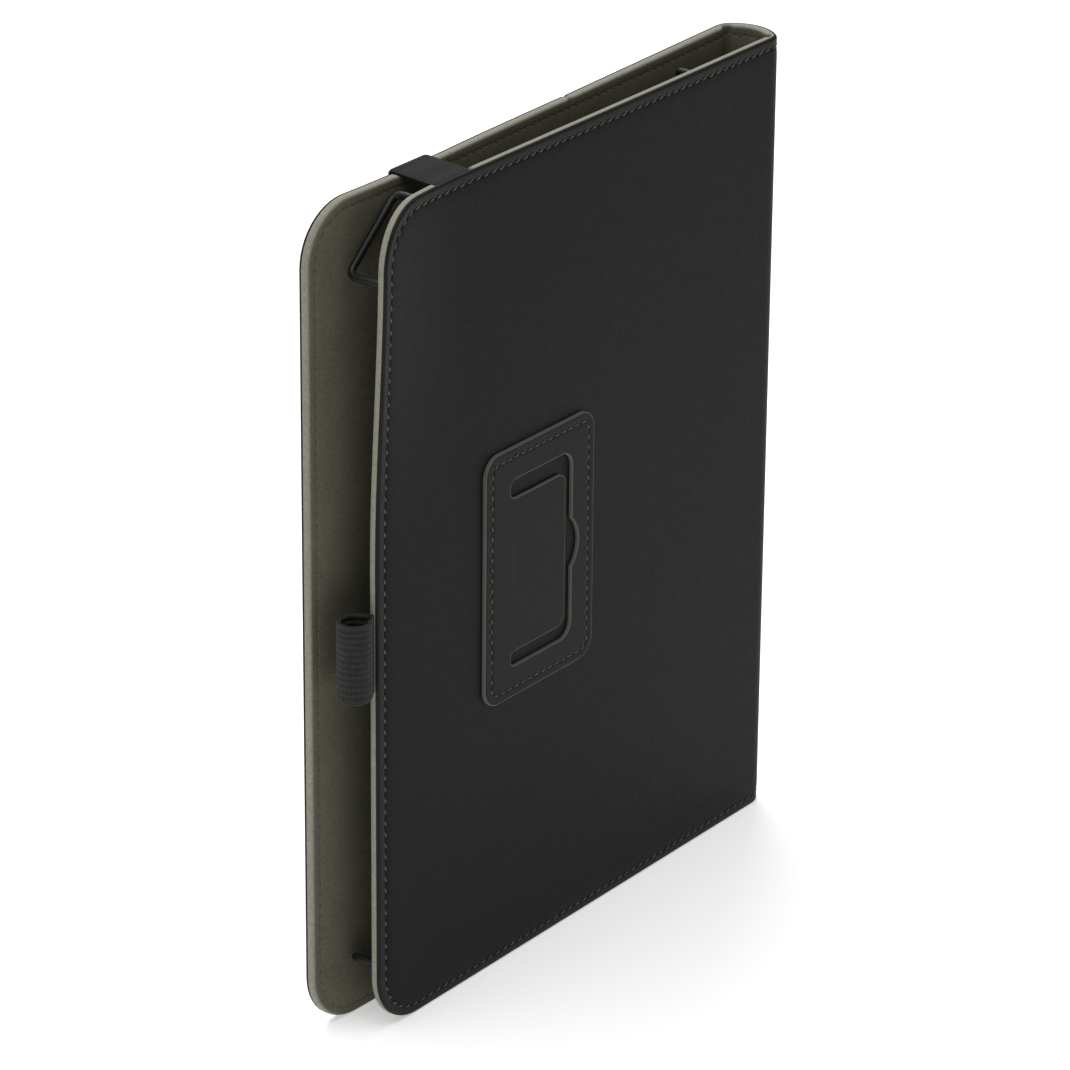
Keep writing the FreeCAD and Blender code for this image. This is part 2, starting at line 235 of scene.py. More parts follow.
@dataclass(frozen=True)
class PuLeather(Finish):
    """Polyurethane leather: a coated fabric, embossed with a fine grain by a heated roller.

    The coating gives a matt, even black with soft broad highlights. The turned and sewn rim
    is stretched over its edge, so it is a little smoother than the flat; its paler colour is a painted
    highlight.
    """

    rim_highlight_colour: str = "#1e1f1d"
    cut_colour: str = "#1b1b1a"
    rim_mm: float = 3.1
    grain_mm: float = 0.55
    roughness: float = 0.52

    def dress(self, surface: Surface) -> None:
        """Wire the grain, the mottled coating and the painted highlight on the rim."""
        mottle = surface.noise(52.0, 2.0)
        low = linear(self.colour)
        high = tuple(c * 1.07 for c in low[:3]) + (1.0,)
        flat = surface.mix(surface.remap(mottle, (0.3, 0.7), (0, 1)), low, high)
        # Painted highlight: the rim out to the stitch line is paler than the flat.
        rim_highlight = surface.remap(surface.edge, (self.rim_mm - 0.7, self.rim_mm), (1, 0))
        sides = surface.mix(rim_highlight, flat, linear(self.rim_highlight_colour))
        cut = surface.remap(surface.edge, (0.15, 0.5), (0.8, 0))
        # The pebbles of the real emboss are about 0.3 mm, finer than shows at this size.
        pebble = add_node(
            surface.tree,
            "ShaderNodeTexVoronoi",
            {"Vector": surface.place, "Scale": 1 / (self.grain_mm * MM), "Randomness": 1.0},
            feature="SMOOTH_F1",
        ).outputs["Distance"]
        crinkle = surface.noise(2.4, 5.0)
        grain = surface.bump(pebble, 0.03)
        relief = surface.bump(crinkle, 0.03, grain)
        gloss = surface.remap(
            surface.noise(1.6), (0.3, 0.7), (self.roughness - 0.03, self.roughness + 0.03)
        )
        surface.feed(
            Base_Color=surface.mix(cut, sides, linear(self.cut_colour)),
            Roughness=surface.math("SUBTRACT", gloss, surface.math("MULTIPLY", rim_highlight, 0.06)),
            Normal=relief,
            IOR=1.48,
            Specular_IOR_Level=0.1,
        )


@dataclass(frozen=True)
class Microfibre(Finish):
    """Microfibre lining: a brushed non-woven suede, pressed onto the board with its hem.

    Its rolled rim has a painted highlight, paler than the flat, and
    brushing leaves soft patches that lie in other directions.
    """

    rim_highlight_colour: str = "#98968a"
    fibre_mm: float = 0.35

    def dress(self, surface: Surface) -> None:
        """Wire the nap, its brushed patches and the painted highlight on the rim."""
        low = linear(self.colour)
        warm = (low[0] * 1.13, low[1] * 1.12, low[2] * 1.1, 1.0)
        patch = surface.remap(surface.noise(16.0, 3.0), (0.36, 0.64), (0, 1))
        speck = surface.remap(surface.noise(0.9, 3.0), (0.3, 0.7), (0.86, 1.14))
        flat = surface.mix(patch, low, warm)
        # Painted highlight: the rolled rim is paler than the flat cloth.
        rim_highlight = surface.remap(surface.edge, (0.2, 0.9), (0.7, 0))
        colour = surface.mix(rim_highlight, flat, linear(self.rim_highlight_colour))
        dusted = add_node(
            surface.tree,
            "ShaderNodeHueSaturation",
            {"Color": colour, "Value": speck},
        ).outputs[0]
        nap = surface.bump(surface.noise(self.fibre_mm, 5.0), 0.06)
        surface.feed(
            Base_Color=dusted,
            Roughness=0.92,
            Normal=surface.bump(surface.noise(3.0, 4.0), 0.08, nap),
            Specular_IOR_Level=0.2,
            Sheen_Weight=0.04,
            Sheen_Roughness=0.45,
            Sheen_Tint=linear("#b9b6a6"),
        )


@dataclass(frozen=True)
class BondedThread(Finish):
    """Bonded polyester sewing thread: plied, waxed and pulled down into needle holes.

    Each stitch has a painted glint in its middle, and its ends are darkened with painted
    shade where they go into the needle holes.
    """

    highlight_colour: str = "#3c3d39"

    def dress(self, surface: Surface) -> None:
        """Wire the ply, the painted glint and the painted shade at the ends."""
        # Painted highlight in each stitch's middle, fading to painted shade at its ends.
        middle = surface.remap(surface.edge, (0.15, 0.6), (1, 0))
        ply = surface.noise(0.45, 2.0)
        surface.feed(
            Base_Color=surface.mix(middle, linear(self.colour), linear(self.highlight_colour)),
            Roughness=surface.remap(ply, (0.3, 0.7), (0.34, 0.5)),
            Normal=surface.bump(ply, 0.06),
            Sheen_Weight=0.1,
        )


@dataclass(frozen=True)
class WovenElastic(Finish):
    """Woven elastic: covered rubber threads held by fine black polyester weft.

    Each pick of weft crosses the ribbon, so it looks like a close, dull, regular cloth
    with a painted highlight wherever a pick comes up.
    """

    pick_mm: float = 0.9
    end_mm: float = 0.7
    highlight_colour: str = "#222221"

    def dress(self, surface: Surface) -> None:
        """Wire the picks across the ribbon and the ends along it."""
        parts = add_node(surface.tree, "ShaderNodeSeparateXYZ", {0: surface.cloth}).outputs
        waves = []
        for part, pitch in ((parts[0], self.pick_mm), (parts[1], self.end_mm)):
            turn = surface.math("MULTIPLY", part, 2 * math.pi / (pitch * MM))
            swing = surface.math("SINE", turn, 0.0)
            waves.append(surface.remap(swing, (-1, 1), (0, 1)))
        weave = surface.math("MULTIPLY", waves[0], waves[1])
        # Painted highlight on the raised picks, broken up by noise.
        pick_highlight = surface.math("MULTIPLY", weave, surface.remap(surface.noise(2.0), (0.3, 0.7), (0.5, 1)))
        surface.feed(
            Base_Color=surface.mix(pick_highlight, linear(self.colour), linear(self.highlight_colour)),
            Roughness=0.78,
            Normal=surface.bump(weave, 0.12, surface.bump(surface.noise(0.3), 0.03)),
            Specular_IOR_Level=0.22,
            Sheen_Weight=0.05,
            Sheen_Roughness=0.5,
        )


@dataclass(frozen=True)
class BraidedCord(Finish):
    """Elastic cord: a rubber core in a tight braid of black textured nylon.

    The filaments lie along the cord; its satin streaks are a painted highlight in the colour.
    """

    highlight_colour: str = "#1a1a19"

    def dress(self, surface: Surface) -> None:
        """Wire the braid's painted glint and its fine filaments."""
        # The same noise gives the filaments' relief and a painted highlight in the colour.
        fibres_and_sheen = surface.noise(0.35, 3.0)
        surface.feed(
            Base_Color=surface.mix(fibres_and_sheen, linear(self.colour), linear(self.highlight_colour)),
            Roughness=surface.remap(fibres_and_sheen, (0.3, 0.7), (0.36, 0.55)),
            Normal=surface.bump(fibres_and_sheen, 0.05),
            Specular_IOR_Level=0.3,
        )


@dataclass(frozen=True)
class GreyBoard(Finish):
    """Grey board: pressed waste-paper pulp, cut by a die.

    It is a dull brownish grey with darker flecks of old print.
    """

    fleck_colour: str = "#5d5a52"

    def dress(self, surface: Surface) -> None:
        """Wire the pulp and its flecks."""
        fleck = surface.remap(surface.noise(0.8, 2.0), (0.58, 0.68), (0, 1))
        surface.feed(
            Base_Color=surface.mix(fleck, linear(self.colour), linear(self.fleck_colour)),
            Roughness=0.95,
            Normal=surface.bump(surface.noise(0.5), 0.05),
        )


@dataclass(frozen=True)
class PaperSweep(Finish):
    """Seamless background paper: an uncoated white sheet, calendered smooth.

    It scatters light evenly, so shadows on it are soft and neutral. It is lit from below
    too, like a light table, so only the contact shadow stays.
    """

    glow: float = 0.42

    def dress(self, surface: Surface) -> None:
        """Wire the faint tooth of the paper."""
        tooth = surface.remap(surface.noise(1.2), (0.3, 0.7), (0.985, 1.0))
        white = linear(self.colour)
        surface.feed(
            Base_Color=surface.mix(tooth, (0.8, 0.8, 0.8, 1.0), white),
            Roughness=0.9,
            Normal=surface.bump(tooth, 0.01),
            Emission_Color=white,
            Emission_Strength=self.glow,
        )


LEATHER_SKIN = PuLeather("pu_leather_black", "outer_leather", "#10100e")
PATCH_SKIN = PuLeather(
    "pu_leather_patch", "patch_leather", "#161614", "#171715", "#6a6a66", 0.6, 0.5, 0.5
)
LINING_CLOTH = Microfibre("brushed_microfibre_olive", "microfibre_lining", "#5b594d")
THREAD = BondedThread("bonded_thread_black", "seam_thread", "#0d0d0d")
LINING_THREAD = BondedThread("bonded_thread_olive", "seam_thread", "#2e2d27", "#504e45")
BAND_ELASTIC = WovenElastic("woven_elastic_band", "woven_elastic", "#101010")
LOOP_ELASTIC = WovenElastic("ribbed_elastic_loop", "ribbed_elastic", "#151615", 0.55, 1.92, "#454641")
CORD = BraidedCord("braided_nylon_cord", "elastic_cord", "#0b0b0b")
BOARD = GreyBoard("grey_board", "stiffener_board", "#8c877a")
SWEEP = PaperSweep("paper_sweep", "", "#f4f4f4")


# ---------------------------------------------------------------- mesh making


class Draft:
    """Faces being gathered into one mesh, where points that coincide are one point."""

    def __init__(self) -> None:
        """Start with nothing."""
        self.points: list[Vector] = []
        self.marks: list[float] = []
        self.cloth: list[tuple[float, float]] = []
        self.faces: list[list[int]] = []
        self.known: dict[tuple[int, int, int], int] = {}

    def spot(
        self, place: Vector, mark: float = 10.0, cloth: tuple[float, float] = (0.0, 0.0)
    ) -> int:
        """Add a point, or find it if it is there.

        Args:
            place: Where it is, in the shared frame.
            mark: Its distance from the cut edge, in millimetres.
            cloth: Its place along and across a ribbon, in metres.

        Returns:
            The point's number.
        """
        key = tuple(round(c * 1e7) for c in place)
        if key not in self.known:
            self.known[key] = len(self.points)
            self.points.append(place)
            self.marks.append(mark)
            self.cloth.append(cloth)
        return self.known[key]

    def face(self, spots: list[int]) -> None:
        """Add a face, unless its points fall together."""
        corners = [s for i, s in enumerate(spots) if s != spots[i - 1]]
        if len(set(corners)) > 2 and len(set(corners)) == len(corners):
            self.faces.append(corners)

    def strip(self, first: list[int], second: list[int], closed: bool = False) -> None:
        """Join two equal rows of points with faces.

        Args:
            first: One row.
            second: The row beside it.
            closed: Whether the rows' ends meet.
        """
        count = len(first) if closed else len(first) - 1
        for i in range(count):
            j = (i + 1) % len(first)
            self.face([first[i], first[j], second[j], second[i]])

    def piece(self, name: str, finish: Finish, crease_degrees: float = 42.0) -> bpy.types.Object:
        """Make the object, with its normals outwards and its material on.

        Args:
            name: The piece's name.
            finish: What it is made of.
            crease_degrees: Edges that turn more than this stay sharp.

        Returns:
            The new object.
        """
        mesh = bpy.data.meshes.new(name)
        mesh.from_pydata(self.points, [], self.faces)
        shape = bmesh.new()
        shape.from_mesh(mesh)
        bmesh.ops.recalc_face_normals(shape, faces=shape.faces)
        shape.to_mesh(mesh)
        shape.free()
        marks = mesh.attributes.new("edge_mm", "FLOAT", "POINT")
        marks.data.foreach_set("value", self.marks)
        layer = mesh.uv_layers.new(name="cloth")
        for loop in mesh.loops:
            layer.data[loop.index].uv = self.cloth[loop.vertex_index]
        mesh.shade_smooth()
        mesh.set_sharp_from_angle(angle=math.radians(crease_degrees))
        mesh.materials.append(finish.material())
        made = bpy.data.objects.new(name, mesh)
        bpy.context.scene.collection.objects.link(made)
        log.info("%s: %d points", name, len(self.points))
        return made


def sweep_tube(draft: Draft, line: list[Vector], radius: Callable, sides: int) -> None:
    """Sweep a closed tube along a line of points.

    Args:
        draft: Where its faces go.
        line: The centreline, in the shared frame.
        radius: The radius in millimetres from the share along and the turn about the line.
        sides: How many faces go round.
    """
    rings = []
    normal = Vector((0, 1, 0.01))
    for i, middle in enumerate(line):
        ahead = line[min(i + 1, len(line) - 1)] - line[max(i - 1, 0)]
        ahead.normalize()
        normal = (normal - ahead * normal.dot(ahead)).normalized()
        side = ahead.cross(normal)
        share = i / (len(line) - 1)
        ring = []
        for k in range(sides):
            turn = 2 * math.pi * k / sides
            out = normal * math.cos(turn) + side * math.sin(turn)
            # The mark runs from 0 at the middle to 1 at both ends; the thread's finish paints its glint and
            # end shade from it.
            ring.append(draft.spot(middle + out * radius(share, turn) * MM, abs(2 * share - 1)))
        rings.append(ring)
    for first, second in zip(rings, rings[1:]):
        draft.strip(first, second, closed=True)
    draft.face(rings[0])
    draft.face(rings[-1])


def sweep_ribbon(
    draft: Draft, line: list[Vector], across: Vector, width: list[float], thick: Callable
) -> None:
    """Sweep a flat ribbon along a line that lies square to its width.

    Args:
        draft: Where its faces go.
        line: The middle line, in the shared frame.
        across: The way across the ribbon.
        width: Places across it, in millimetres, from one selvedge to the other.
        thick: Half its thickness in millimetres, from the length along and the place across.
    """
    faces: dict[int, list[list[int]]] = {1: [], -1: []}
    along = 0.0
    for i, middle in enumerate(line):
        ahead = line[min(i + 1, len(line) - 1)] - line[max(i - 1, 0)]
        out = ahead.cross(across).normalized()
        if i:
            along += (middle - line[i - 1]).length / MM
        for side in (1, -1):
            ribbon_row = []
            for w in width:
                place = middle + (across * w + out * side * thick(along, w)) * MM
                ribbon_row.append(draft.spot(place, 10.0, (along * MM, w * MM)))
            faces[side].append(ribbon_row)
    for side in (1, -1):
        for first, second in zip(faces[side], faces[side][1:]):
            draft.strip(first, second)
    top, under = faces[1], faces[-1]
    for k in (0, -1):
        draft.strip([r[k] for r in top], [r[k] for r in under])
        draft.strip(top[k], under[k])


# ---------------------------------------------------------------- the cover's stretches


# The spine's arc in plan: its radius in mm, and half the angle that it spans in degrees.
SPINE_BEND_R = 13.0
SPINE_HALF_ANGLE = 34.0
# The living hinges' length along the section, and how far in the band's dent at a hem fades, in mm.
FOLD_LENGTH = 9.0
HEM_FADE = 9.0


class FreeEnd(Enum):
    """Which end of a stretch is a free edge with rounded corners."""

    NONE = 0
    START = 1
    END = -1


class Side(Enum):
    """A face of the cover."""

    LEATHER = 1
    LINING = -1


class Spot(NamedTuple):
    """A place on a stretch, with its distance in from the outline."""

    s: float
    z: float
    edge: float


@dataclass(frozen=True)
class Build:
    """How the cover is made up: its layers and its sewn rim."""

    height: float = extent("back_leather")[1].z
    leather: float = 1.0
    board: float = 1.4
    cover: float = 3.4
    hem: float = 5.0
    corner_r: float = 18.0
    leather_roll: float = 0.85
    lining_roll: float = 1.1
    seam_inset: float = 3.1
    seam_groove: float = 0.26
    seam_width: float = 0.42
    board_step: float = 0.12
    offsets: tuple[float, ...] = (
        0.0, 0.07, 0.22, 0.45, 0.75, 1.1, 1.6, 2.2, 2.6, 2.85, 3.1, 3.35, 3.6, 4.1, 4.8, 5.6, 7.0, 10.0, 18.0,
    )

    def groove(self, edge: float) -> float:
        """How far the stitch line is pulled in."""
        return self.seam_groove * math.exp(-(((edge - self.seam_inset) / self.seam_width) ** 2))

    def swell(self, edge: float) -> float:
        """How far the board shows through as a low step inside the hem."""
        return self.board_step * smooth(self.hem - 1.0, self.hem + 1.2, edge)


BUILD = Build()


def rolled(edge: float, radius: float) -> float:
    """How far a rolled edge falls back, from its radius and the distance in."""
    if edge >= radius:
        return 0.0
    return radius - math.sqrt(radius**2 - (radius - edge) ** 2)


@dataclass
class Stretch:
    """A stretch of the cover between two plan ends, which rides on one body or lies fixed between two."""

    name: str
    bodies: tuple[str, ...]
    start: float
    end: float
    free: FreeEnd = FreeEnd.NONE
    low: float = 0.0
    high: float = BUILD.height
    radius: float = BUILD.corner_r
    offsets: tuple[float, ...] = BUILD.offsets
    column_step: float = 4.0
    row_step: float = 5.0
    close_at: tuple[float, ...] = ()
    bend: tuple[float, float] = (0.0, 0.0)

    def line(self, s: float) -> tuple[float, float, float]:
        """The outer face's plan place and heading at s."""
        raise NotImplementedError

    def bow(self, s: float, z: float) -> float:
        """How far the stretch is pushed in from its flat shape."""
        return 0.0

    def depth(self, s: float) -> float:
        """The lining's inner face."""
        return BUILD.cover

    def dip(self, spot: Spot, side: Side) -> float:
        """How far one layer's outline is pressed in, up or down."""
        return 0.0

    def point(self, s: float, v: float, z: float) -> Vector:
        """A point at s along, v in and z up, in the shared frame."""
        x, y, heading = self.line(s)
        v += self.bow(s, z)
        return row(x - math.sin(heading) * v, y + math.cos(heading) * v, z)

    def face_depth(self, side: Side, spot: Spot) -> float:
        """The depth of the leather or the lining at a spot.

        Args:
            side: The leather or the lining.
            spot: The place on the stretch.

        Returns:
            The depth in from the flat outer face.
        """
        shape = BUILD.groove(spot.edge) - BUILD.swell(spot.edge)
        if side is Side.LEATHER:
            return rolled(spot.edge, BUILD.leather_roll) + shape
        return self.depth(spot.s) - rolled(spot.edge, BUILD.lining_roll) - 0.8 * shape

    def columns(self) -> list[float]:
        """Places along the stretch, closer beside what presses into its edge."""
        places = set(spread(self.start, self.end, self.column_step))
        if self.free is not FreeEnd.NONE:
            edge = self.start if self.free is FreeEnd.START else self.end
            inner = edge + self.free.value * self.radius
            places = {p for p in places if (p - inner) * self.free.value > 0} | {inner}
        return sorted(places | set(self.close_at))

    def rows(self, inset: float) -> list[float]:
        """Heights between the corner rounds, or over the whole stretch if it has none."""
        middle = spread(self.low + self.radius, self.high - self.radius, self.row_step)
        if self.free is not FreeEnd.NONE:
            return middle
        kept = [o for o in self.offsets if inset <= o < self.radius]
        ends = [self.low + o for o in kept]
        return ends + middle + [self.high + self.low - z for z in reversed(ends)]

    def spot_at(self, s: float, z: float) -> Spot:
        """A spot with its distance from the top or bottom."""
        return Spot(s, z, min(z - self.low, self.high - z))

    def ring(self, offset: float) -> list[Spot]:
        """The outline at one distance in, from the fold side round the free end and back.

        Args:
            offset: The distance in from the outline.

        Returns:
            The spots along it, always the same number.
        """
        edge = self.start if self.free is FreeEnd.START else self.end
        way = self.free.value
        runs = sorted(self.columns(), key=lambda s: -abs(s - edge))
        spots = [Spot(s, self.low + offset, offset) for s in runs]
        turns = [math.pi / 2 * i / 12 for i in range(1, 12)]
        reach = self.radius - offset
        centre = edge + way * self.radius
        for turn in turns:
            s = centre - way * reach * math.sin(turn)
            spots.append(Spot(s, self.low + self.radius - reach * math.cos(turn), offset))
        spots += [Spot(edge + way * offset, z, offset) for z in self.rows(0)]
        for turn in reversed(turns):
            s = centre - way * reach * math.sin(turn)
            spots.append(Spot(s, self.high - self.radius + reach * math.cos(turn), offset))
        return spots + [Spot(s, self.high - offset, offset) for s in reversed(runs)]

    def cells(self, inset: float = 0.0) -> Iterator[list[Spot]]:
        """The faces of the flat stretch.

        Args:
            inset: Where the outermost ring is.

        Yields:
            The corners of each face.
        """
        columns = self.columns()
        heights = self.rows(inset)
        for s, next_s in zip(columns, columns[1:]):
            for z, next_z in zip(heights, heights[1:]):
                corners = ((s, z), (next_s, z), (next_s, next_z), (s, next_z))
                yield [self.spot_at(*corner) for corner in corners]
        if self.free is FreeEnd.NONE:
            return
        rings = [self.ring(o) for o in self.offsets if o >= inset]
        for outer, inner in zip(rings, rings[1:]):
            for i in range(len(outer) - 1):
                yield [outer[i], outer[i + 1], inner[i + 1], inner[i]]

    def outline(self, inset: float) -> list[list[Spot]]:
        """The open edges of the flat stretch, as rows of spots."""
        ends = [self.start, self.end]
        if self.free is not FreeEnd.NONE:
            fold = self.end if self.free is FreeEnd.START else self.start
            kept = [o for o in self.offsets if o >= inset]
            low = [self.low + o for o in kept]
            high = [self.high - o for o in reversed(kept)]
            heights = sorted(set(low + self.rows(inset) + high))
            return [self.ring(kept[0]), [self.spot_at(fold, z) for z in heights]]
        heights = self.rows(inset)
        edges = [[self.spot_at(s, z) for z in heights] for s in ends]
        for z in (heights[0], heights[-1]):
            edges.append([self.spot_at(s, z) for s in self.columns()])
        return edges

    def slab(
        self,
        draft: Draft,
        outer: Callable,
        inner: Callable,
        inset: float = 0.0,
        side: Side = Side.LEATHER,
    ) -> None:
        """Add a closed slab over the whole stretch.

        Args:
            draft: Where its faces go.
            outer: The depth of its outer face at a spot.
            inner: The depth of its inner face at a spot.
            inset: How far in from the outline it stops.
            side: The layer that it belongs to.
        """

        def place(spot: Spot, depth: Callable) -> int:
            """The point of a spot on one face."""
            z = spot.z + self.dip(spot, side)
            return draft.spot(self.point(spot.s, depth(spot), z), spot.edge)

        for cell in self.cells(inset):
            draft.face([place(spot, outer) for spot in cell])
            draft.face([place(spot, inner) for spot in reversed(cell)])
        for edge in self.outline(inset):
            draft.strip([place(s, outer) for s in edge], [place(s, inner) for s in edge])

    def mount(self, piece: bpy.types.Object) -> None:
        """Make a piece follow this stretch's body, or, between two bodies, bake its place into its mesh."""
        if len(self.bodies) == 1:
            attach(piece, self.bodies[0])
            return
        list(self.bodies)
        row(self.bend[0], 0, 0)
        row(self.bend[1], 0, 0)
        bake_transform(piece)

    def leather_piece(self) -> bpy.types.Object:
        """Make this stretch's leather."""
        draft = Draft()
        self.slab(
            draft,
            lambda spot: self.face_depth(Side.LEATHER, spot),
            lambda spot: BUILD.leather - 0.02,
        )
        piece = draft.piece(self.name + "_leather_skin", LEATHER_SKIN)
        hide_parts(self.name + "_leather")
        self.mount(piece)
        return piece

    def lining_piece(self) -> bpy.types.Object:
        """Make this stretch's lining."""
        draft = Draft()
        self.slab(
            draft,
            lambda spot: BUILD.leather + rolled(spot.edge, 0.3) * 0.6,
            lambda spot: self.face_depth(Side.LINING, spot),
            side=Side.LINING,
        )
        piece = draft.piece(self.name + "_lining_cloth", LINING_CLOTH)
        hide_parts(self.name + "_lining")
        self.mount(piece)
        return piece

    def board_piece(self, start: float, end: float) -> bpy.types.Object:
        """Make this stretch's board, inside its hem.

        Args:
            start: Where the board starts along the stretch.
            end: Where it ends.

        Returns:
            The board.
        """
        draft = Draft()
        kept = (self.start, self.end)
        self.start, self.end = start, end
        self.slab(
            draft,
            lambda spot: BUILD.leather + 0.05,
            lambda spot: BUILD.leather + BUILD.board - 0.05,
            BUILD.hem,
        )
        self.start, self.end = kept
        piece = draft.piece(self.name + "_stiffener", BOARD)
        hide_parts(self.name + "_board")
        self.mount(piece)
        return piece


@dataclass
class Flat(Stretch):
    """A flat stretch on a straight plan line."""

    x: float = 0.0
    y: float = 0.0
    turn: float = 0.0

    def line(self, s: float) -> tuple[float, float, float]:
        """The place and heading along the straight line."""
        heading = math.radians(self.turn)
        return self.x + s * math.cos(heading), self.y + s * math.sin(heading), heading


@dataclass(frozen=True)
class BandFit:
    """Where the closure band crosses the covers, and how far it presses in."""

    low: float = extent("band_front_run")[0].x
    high: float = extent("band_front_run")[1].x
    thick: float = 1.0
    gap: float = 0.3
    top_press: float = 0.35
    hem_press: float = 1.35
    floor_press: float = 1.5
    ramp: float = 0.7

    @property
    def middle(self) -> float:
        """The band's middle in X."""
        return (self.low + self.high) / 2

    @property
    def width(self) -> float:
        """The band's width."""
        return self.high - self.low

    def press(self, x: float, z: float, edge: float, top: float) -> float:
        """How far the band presses an edge towards the cover's middle.

        Args:
            x: The place across the band.
            z: The height.
            edge: The distance in from the outline.
            top: How deep it presses the top edge, in millimetres.

        Returns:
            The change of height.
        """
        inside = smooth(self.low - self.ramp, self.low, x)
        inside *= smooth(self.high + self.ramp, self.high, x)
        fades = max(0.0, 1 - edge / HEM_FADE)
        if z > BUILD.height / 2:
            return -top * inside * fades
        return self.floor_press * inside * fades

    def columns(self) -> list[float]:
        """Places in X just beside the band's edges."""
        steps = (-self.ramp, -self.ramp / 2, 0.0)
        return [self.low + d for d in steps] + [self.high - d for d in steps]


BAND_FIT = BandFit()


@dataclass
class BackPanel(Flat):
    """The back cover. Its free top corner curls away from the tablet."""

    curl: float = 3.6
    curl_reach: float = 42.0
    curl_power: float = 2.1
    curl_from_z: float = 150.0
    curl_full_z: float = 250.0
    ripple: tuple[float, float, float] = (0.12, 31.0, 27.0)
    ripple_fade: float = 30.0

    def bow(self, s: float, z: float) -> float:
        """The curl at the free top corner, and a slight unevenness elsewhere."""
        near = max(0.0, 1 - s / self.curl_reach) ** self.curl_power
        raised = smooth(self.curl_from_z, self.curl_full_z, z)
        depth, along, across = self.ripple
        wave = depth * math.sin(z / along) * math.sin(s / across)
        return -self.curl * near * raised + wave * smooth(self.end, self.end - self.ripple_fade, s)

    def dip(self, spot: Spot, side: Side) -> float:
        """The lining gives way where the band comes out of the hem; the leather doesn't."""
        if side is Side.LEATHER:
            return 0.0
        return BAND_FIT.press(spot.s, spot.z, spot.edge, BAND_FIT.hem_press)


@dataclass
class OuterPanel(Flat):
    """The front cover's outer panel. The band pulls it in, and its free edge flares out."""

    sag: float = 0.85
    sag_at: float = 72.0
    sag_reach: float = 24.0
    flare: float = 1.5
    flare_from: float = 94.0
    ripple: tuple[float, float, float] = (0.1, 37.0, 19.0)

    def bow(self, s: float, z: float) -> float:
        """The sag under the band, the flare at the free edge and a slight unevenness."""
        sagging = self.sag * math.exp(-(((s - self.sag_at) / self.sag_reach) ** 2))
        flaring = self.flare * max(0.0, (s - self.flare_from) / (self.end - self.flare_from)) ** 1.5
        depth, along, across = self.ripple
        wave = depth * math.sin(z / along + 1.0) * math.sin(s / across)
        return (sagging - flaring + wave) * smooth(self.start, self.start + 25, s)

    def dip(self, spot: Spot, side: Side) -> float:
        """The press of the band over the top and under the bottom."""
        return BAND_FIT.press(self.line(spot.s)[0], spot.z, spot.edge, BAND_FIT.top_press)


@dataclass
class Curved(Stretch):
    """The spine: a stretch on an arc in plan."""

    x: float = 188.4
    y: float = 10.8
    bend_r: float = SPINE_BEND_R
    half_angle: float = SPINE_HALF_ANGLE

    def line(self, s: float) -> tuple[float, float, float]:
        """The place and heading along the arc."""
        turn = s / self.bend_r - math.radians(self.half_angle)
        across = self.x + self.bend_r * math.cos(turn)
        return across, self.y + self.bend_r * math.sin(turn), turn + math.pi / 2


@dataclass
class Fold(Stretch):
    """A living hinge: leather and lining with no board, from one stretch's end to another's."""

    before: Stretch | None = None
    after: Stretch | None = None
    sharpness: float = 0.8
    thin: float = 2.0
    taper: float = 0.3

    def line(self, s: float) -> tuple[float, float, float]:
        """The place and heading along a curve that leaves both ends smoothly."""
        first = self.before.line(self.before.end)
        last = self.after.line(self.after.start)
        p, q = Vector(first[:2]), Vector(last[:2])
        out = Vector((math.cos(first[2]), math.sin(first[2])))
        back = Vector((math.cos(last[2]), math.sin(last[2])))
        gap = q - p
        reach = (gap.x * back.y - gap.y * back.x) / (out.x * back.y - out.y * back.x)
        corner = p + out * reach
        a, b = p.lerp(corner, self.sharpness), q.lerp(corner, self.sharpness)
        t = s / self.end
        place = p * (1 - t) ** 3 + a * 3 * t * (1 - t) ** 2 + b * 3 * t * t * (1 - t) + q * t**3
        slope = (a - p) * (1 - t) ** 2 + (b - a) * 2 * t * (1 - t) + (q - b) * t * t
        return place.x, place.y, math.atan2(slope.y, slope.x)

    def depth(self, s: float) -> float:
        """The lining's inner face, which thins away from both boards."""
        share = s / self.end
        thinned = smooth(0, self.taper, share) * smooth(1, 1 - self.taper, share)
        return BUILD.cover + (self.thin - BUILD.cover) * thinned


@dataclass
class Crease(Stretch):
    """The pressed crease between the front cover's panels, a V on both faces."""

    before: Stretch | None = None
    after: Stretch | None = None
    press: float = 0.7

    def line(self, s: float) -> tuple[float, float, float]:
        """The place and heading on the straight way between the panels."""
        first = self.before.line(self.before.end)
        last = self.after.line(self.after.start)
        share = s / self.end
        place = Vector(first).lerp(Vector(last), share)
        return place.x, place.y, place.z

    def notch(self, s: float) -> float:
        """How deep the V is at s."""
        return self.press * (1 - abs(2 * s / self.end - 1)) ** 1.2

    def bow(self, s: float, z: float) -> float:
        """The V pressed into the leather."""
        return self.notch(s)

    def depth(self, s: float) -> float:
        """The V pressed into the lining."""
        return BUILD.cover - 2 * self.notch(s)


# ---------------------------------------------------------------- stitching


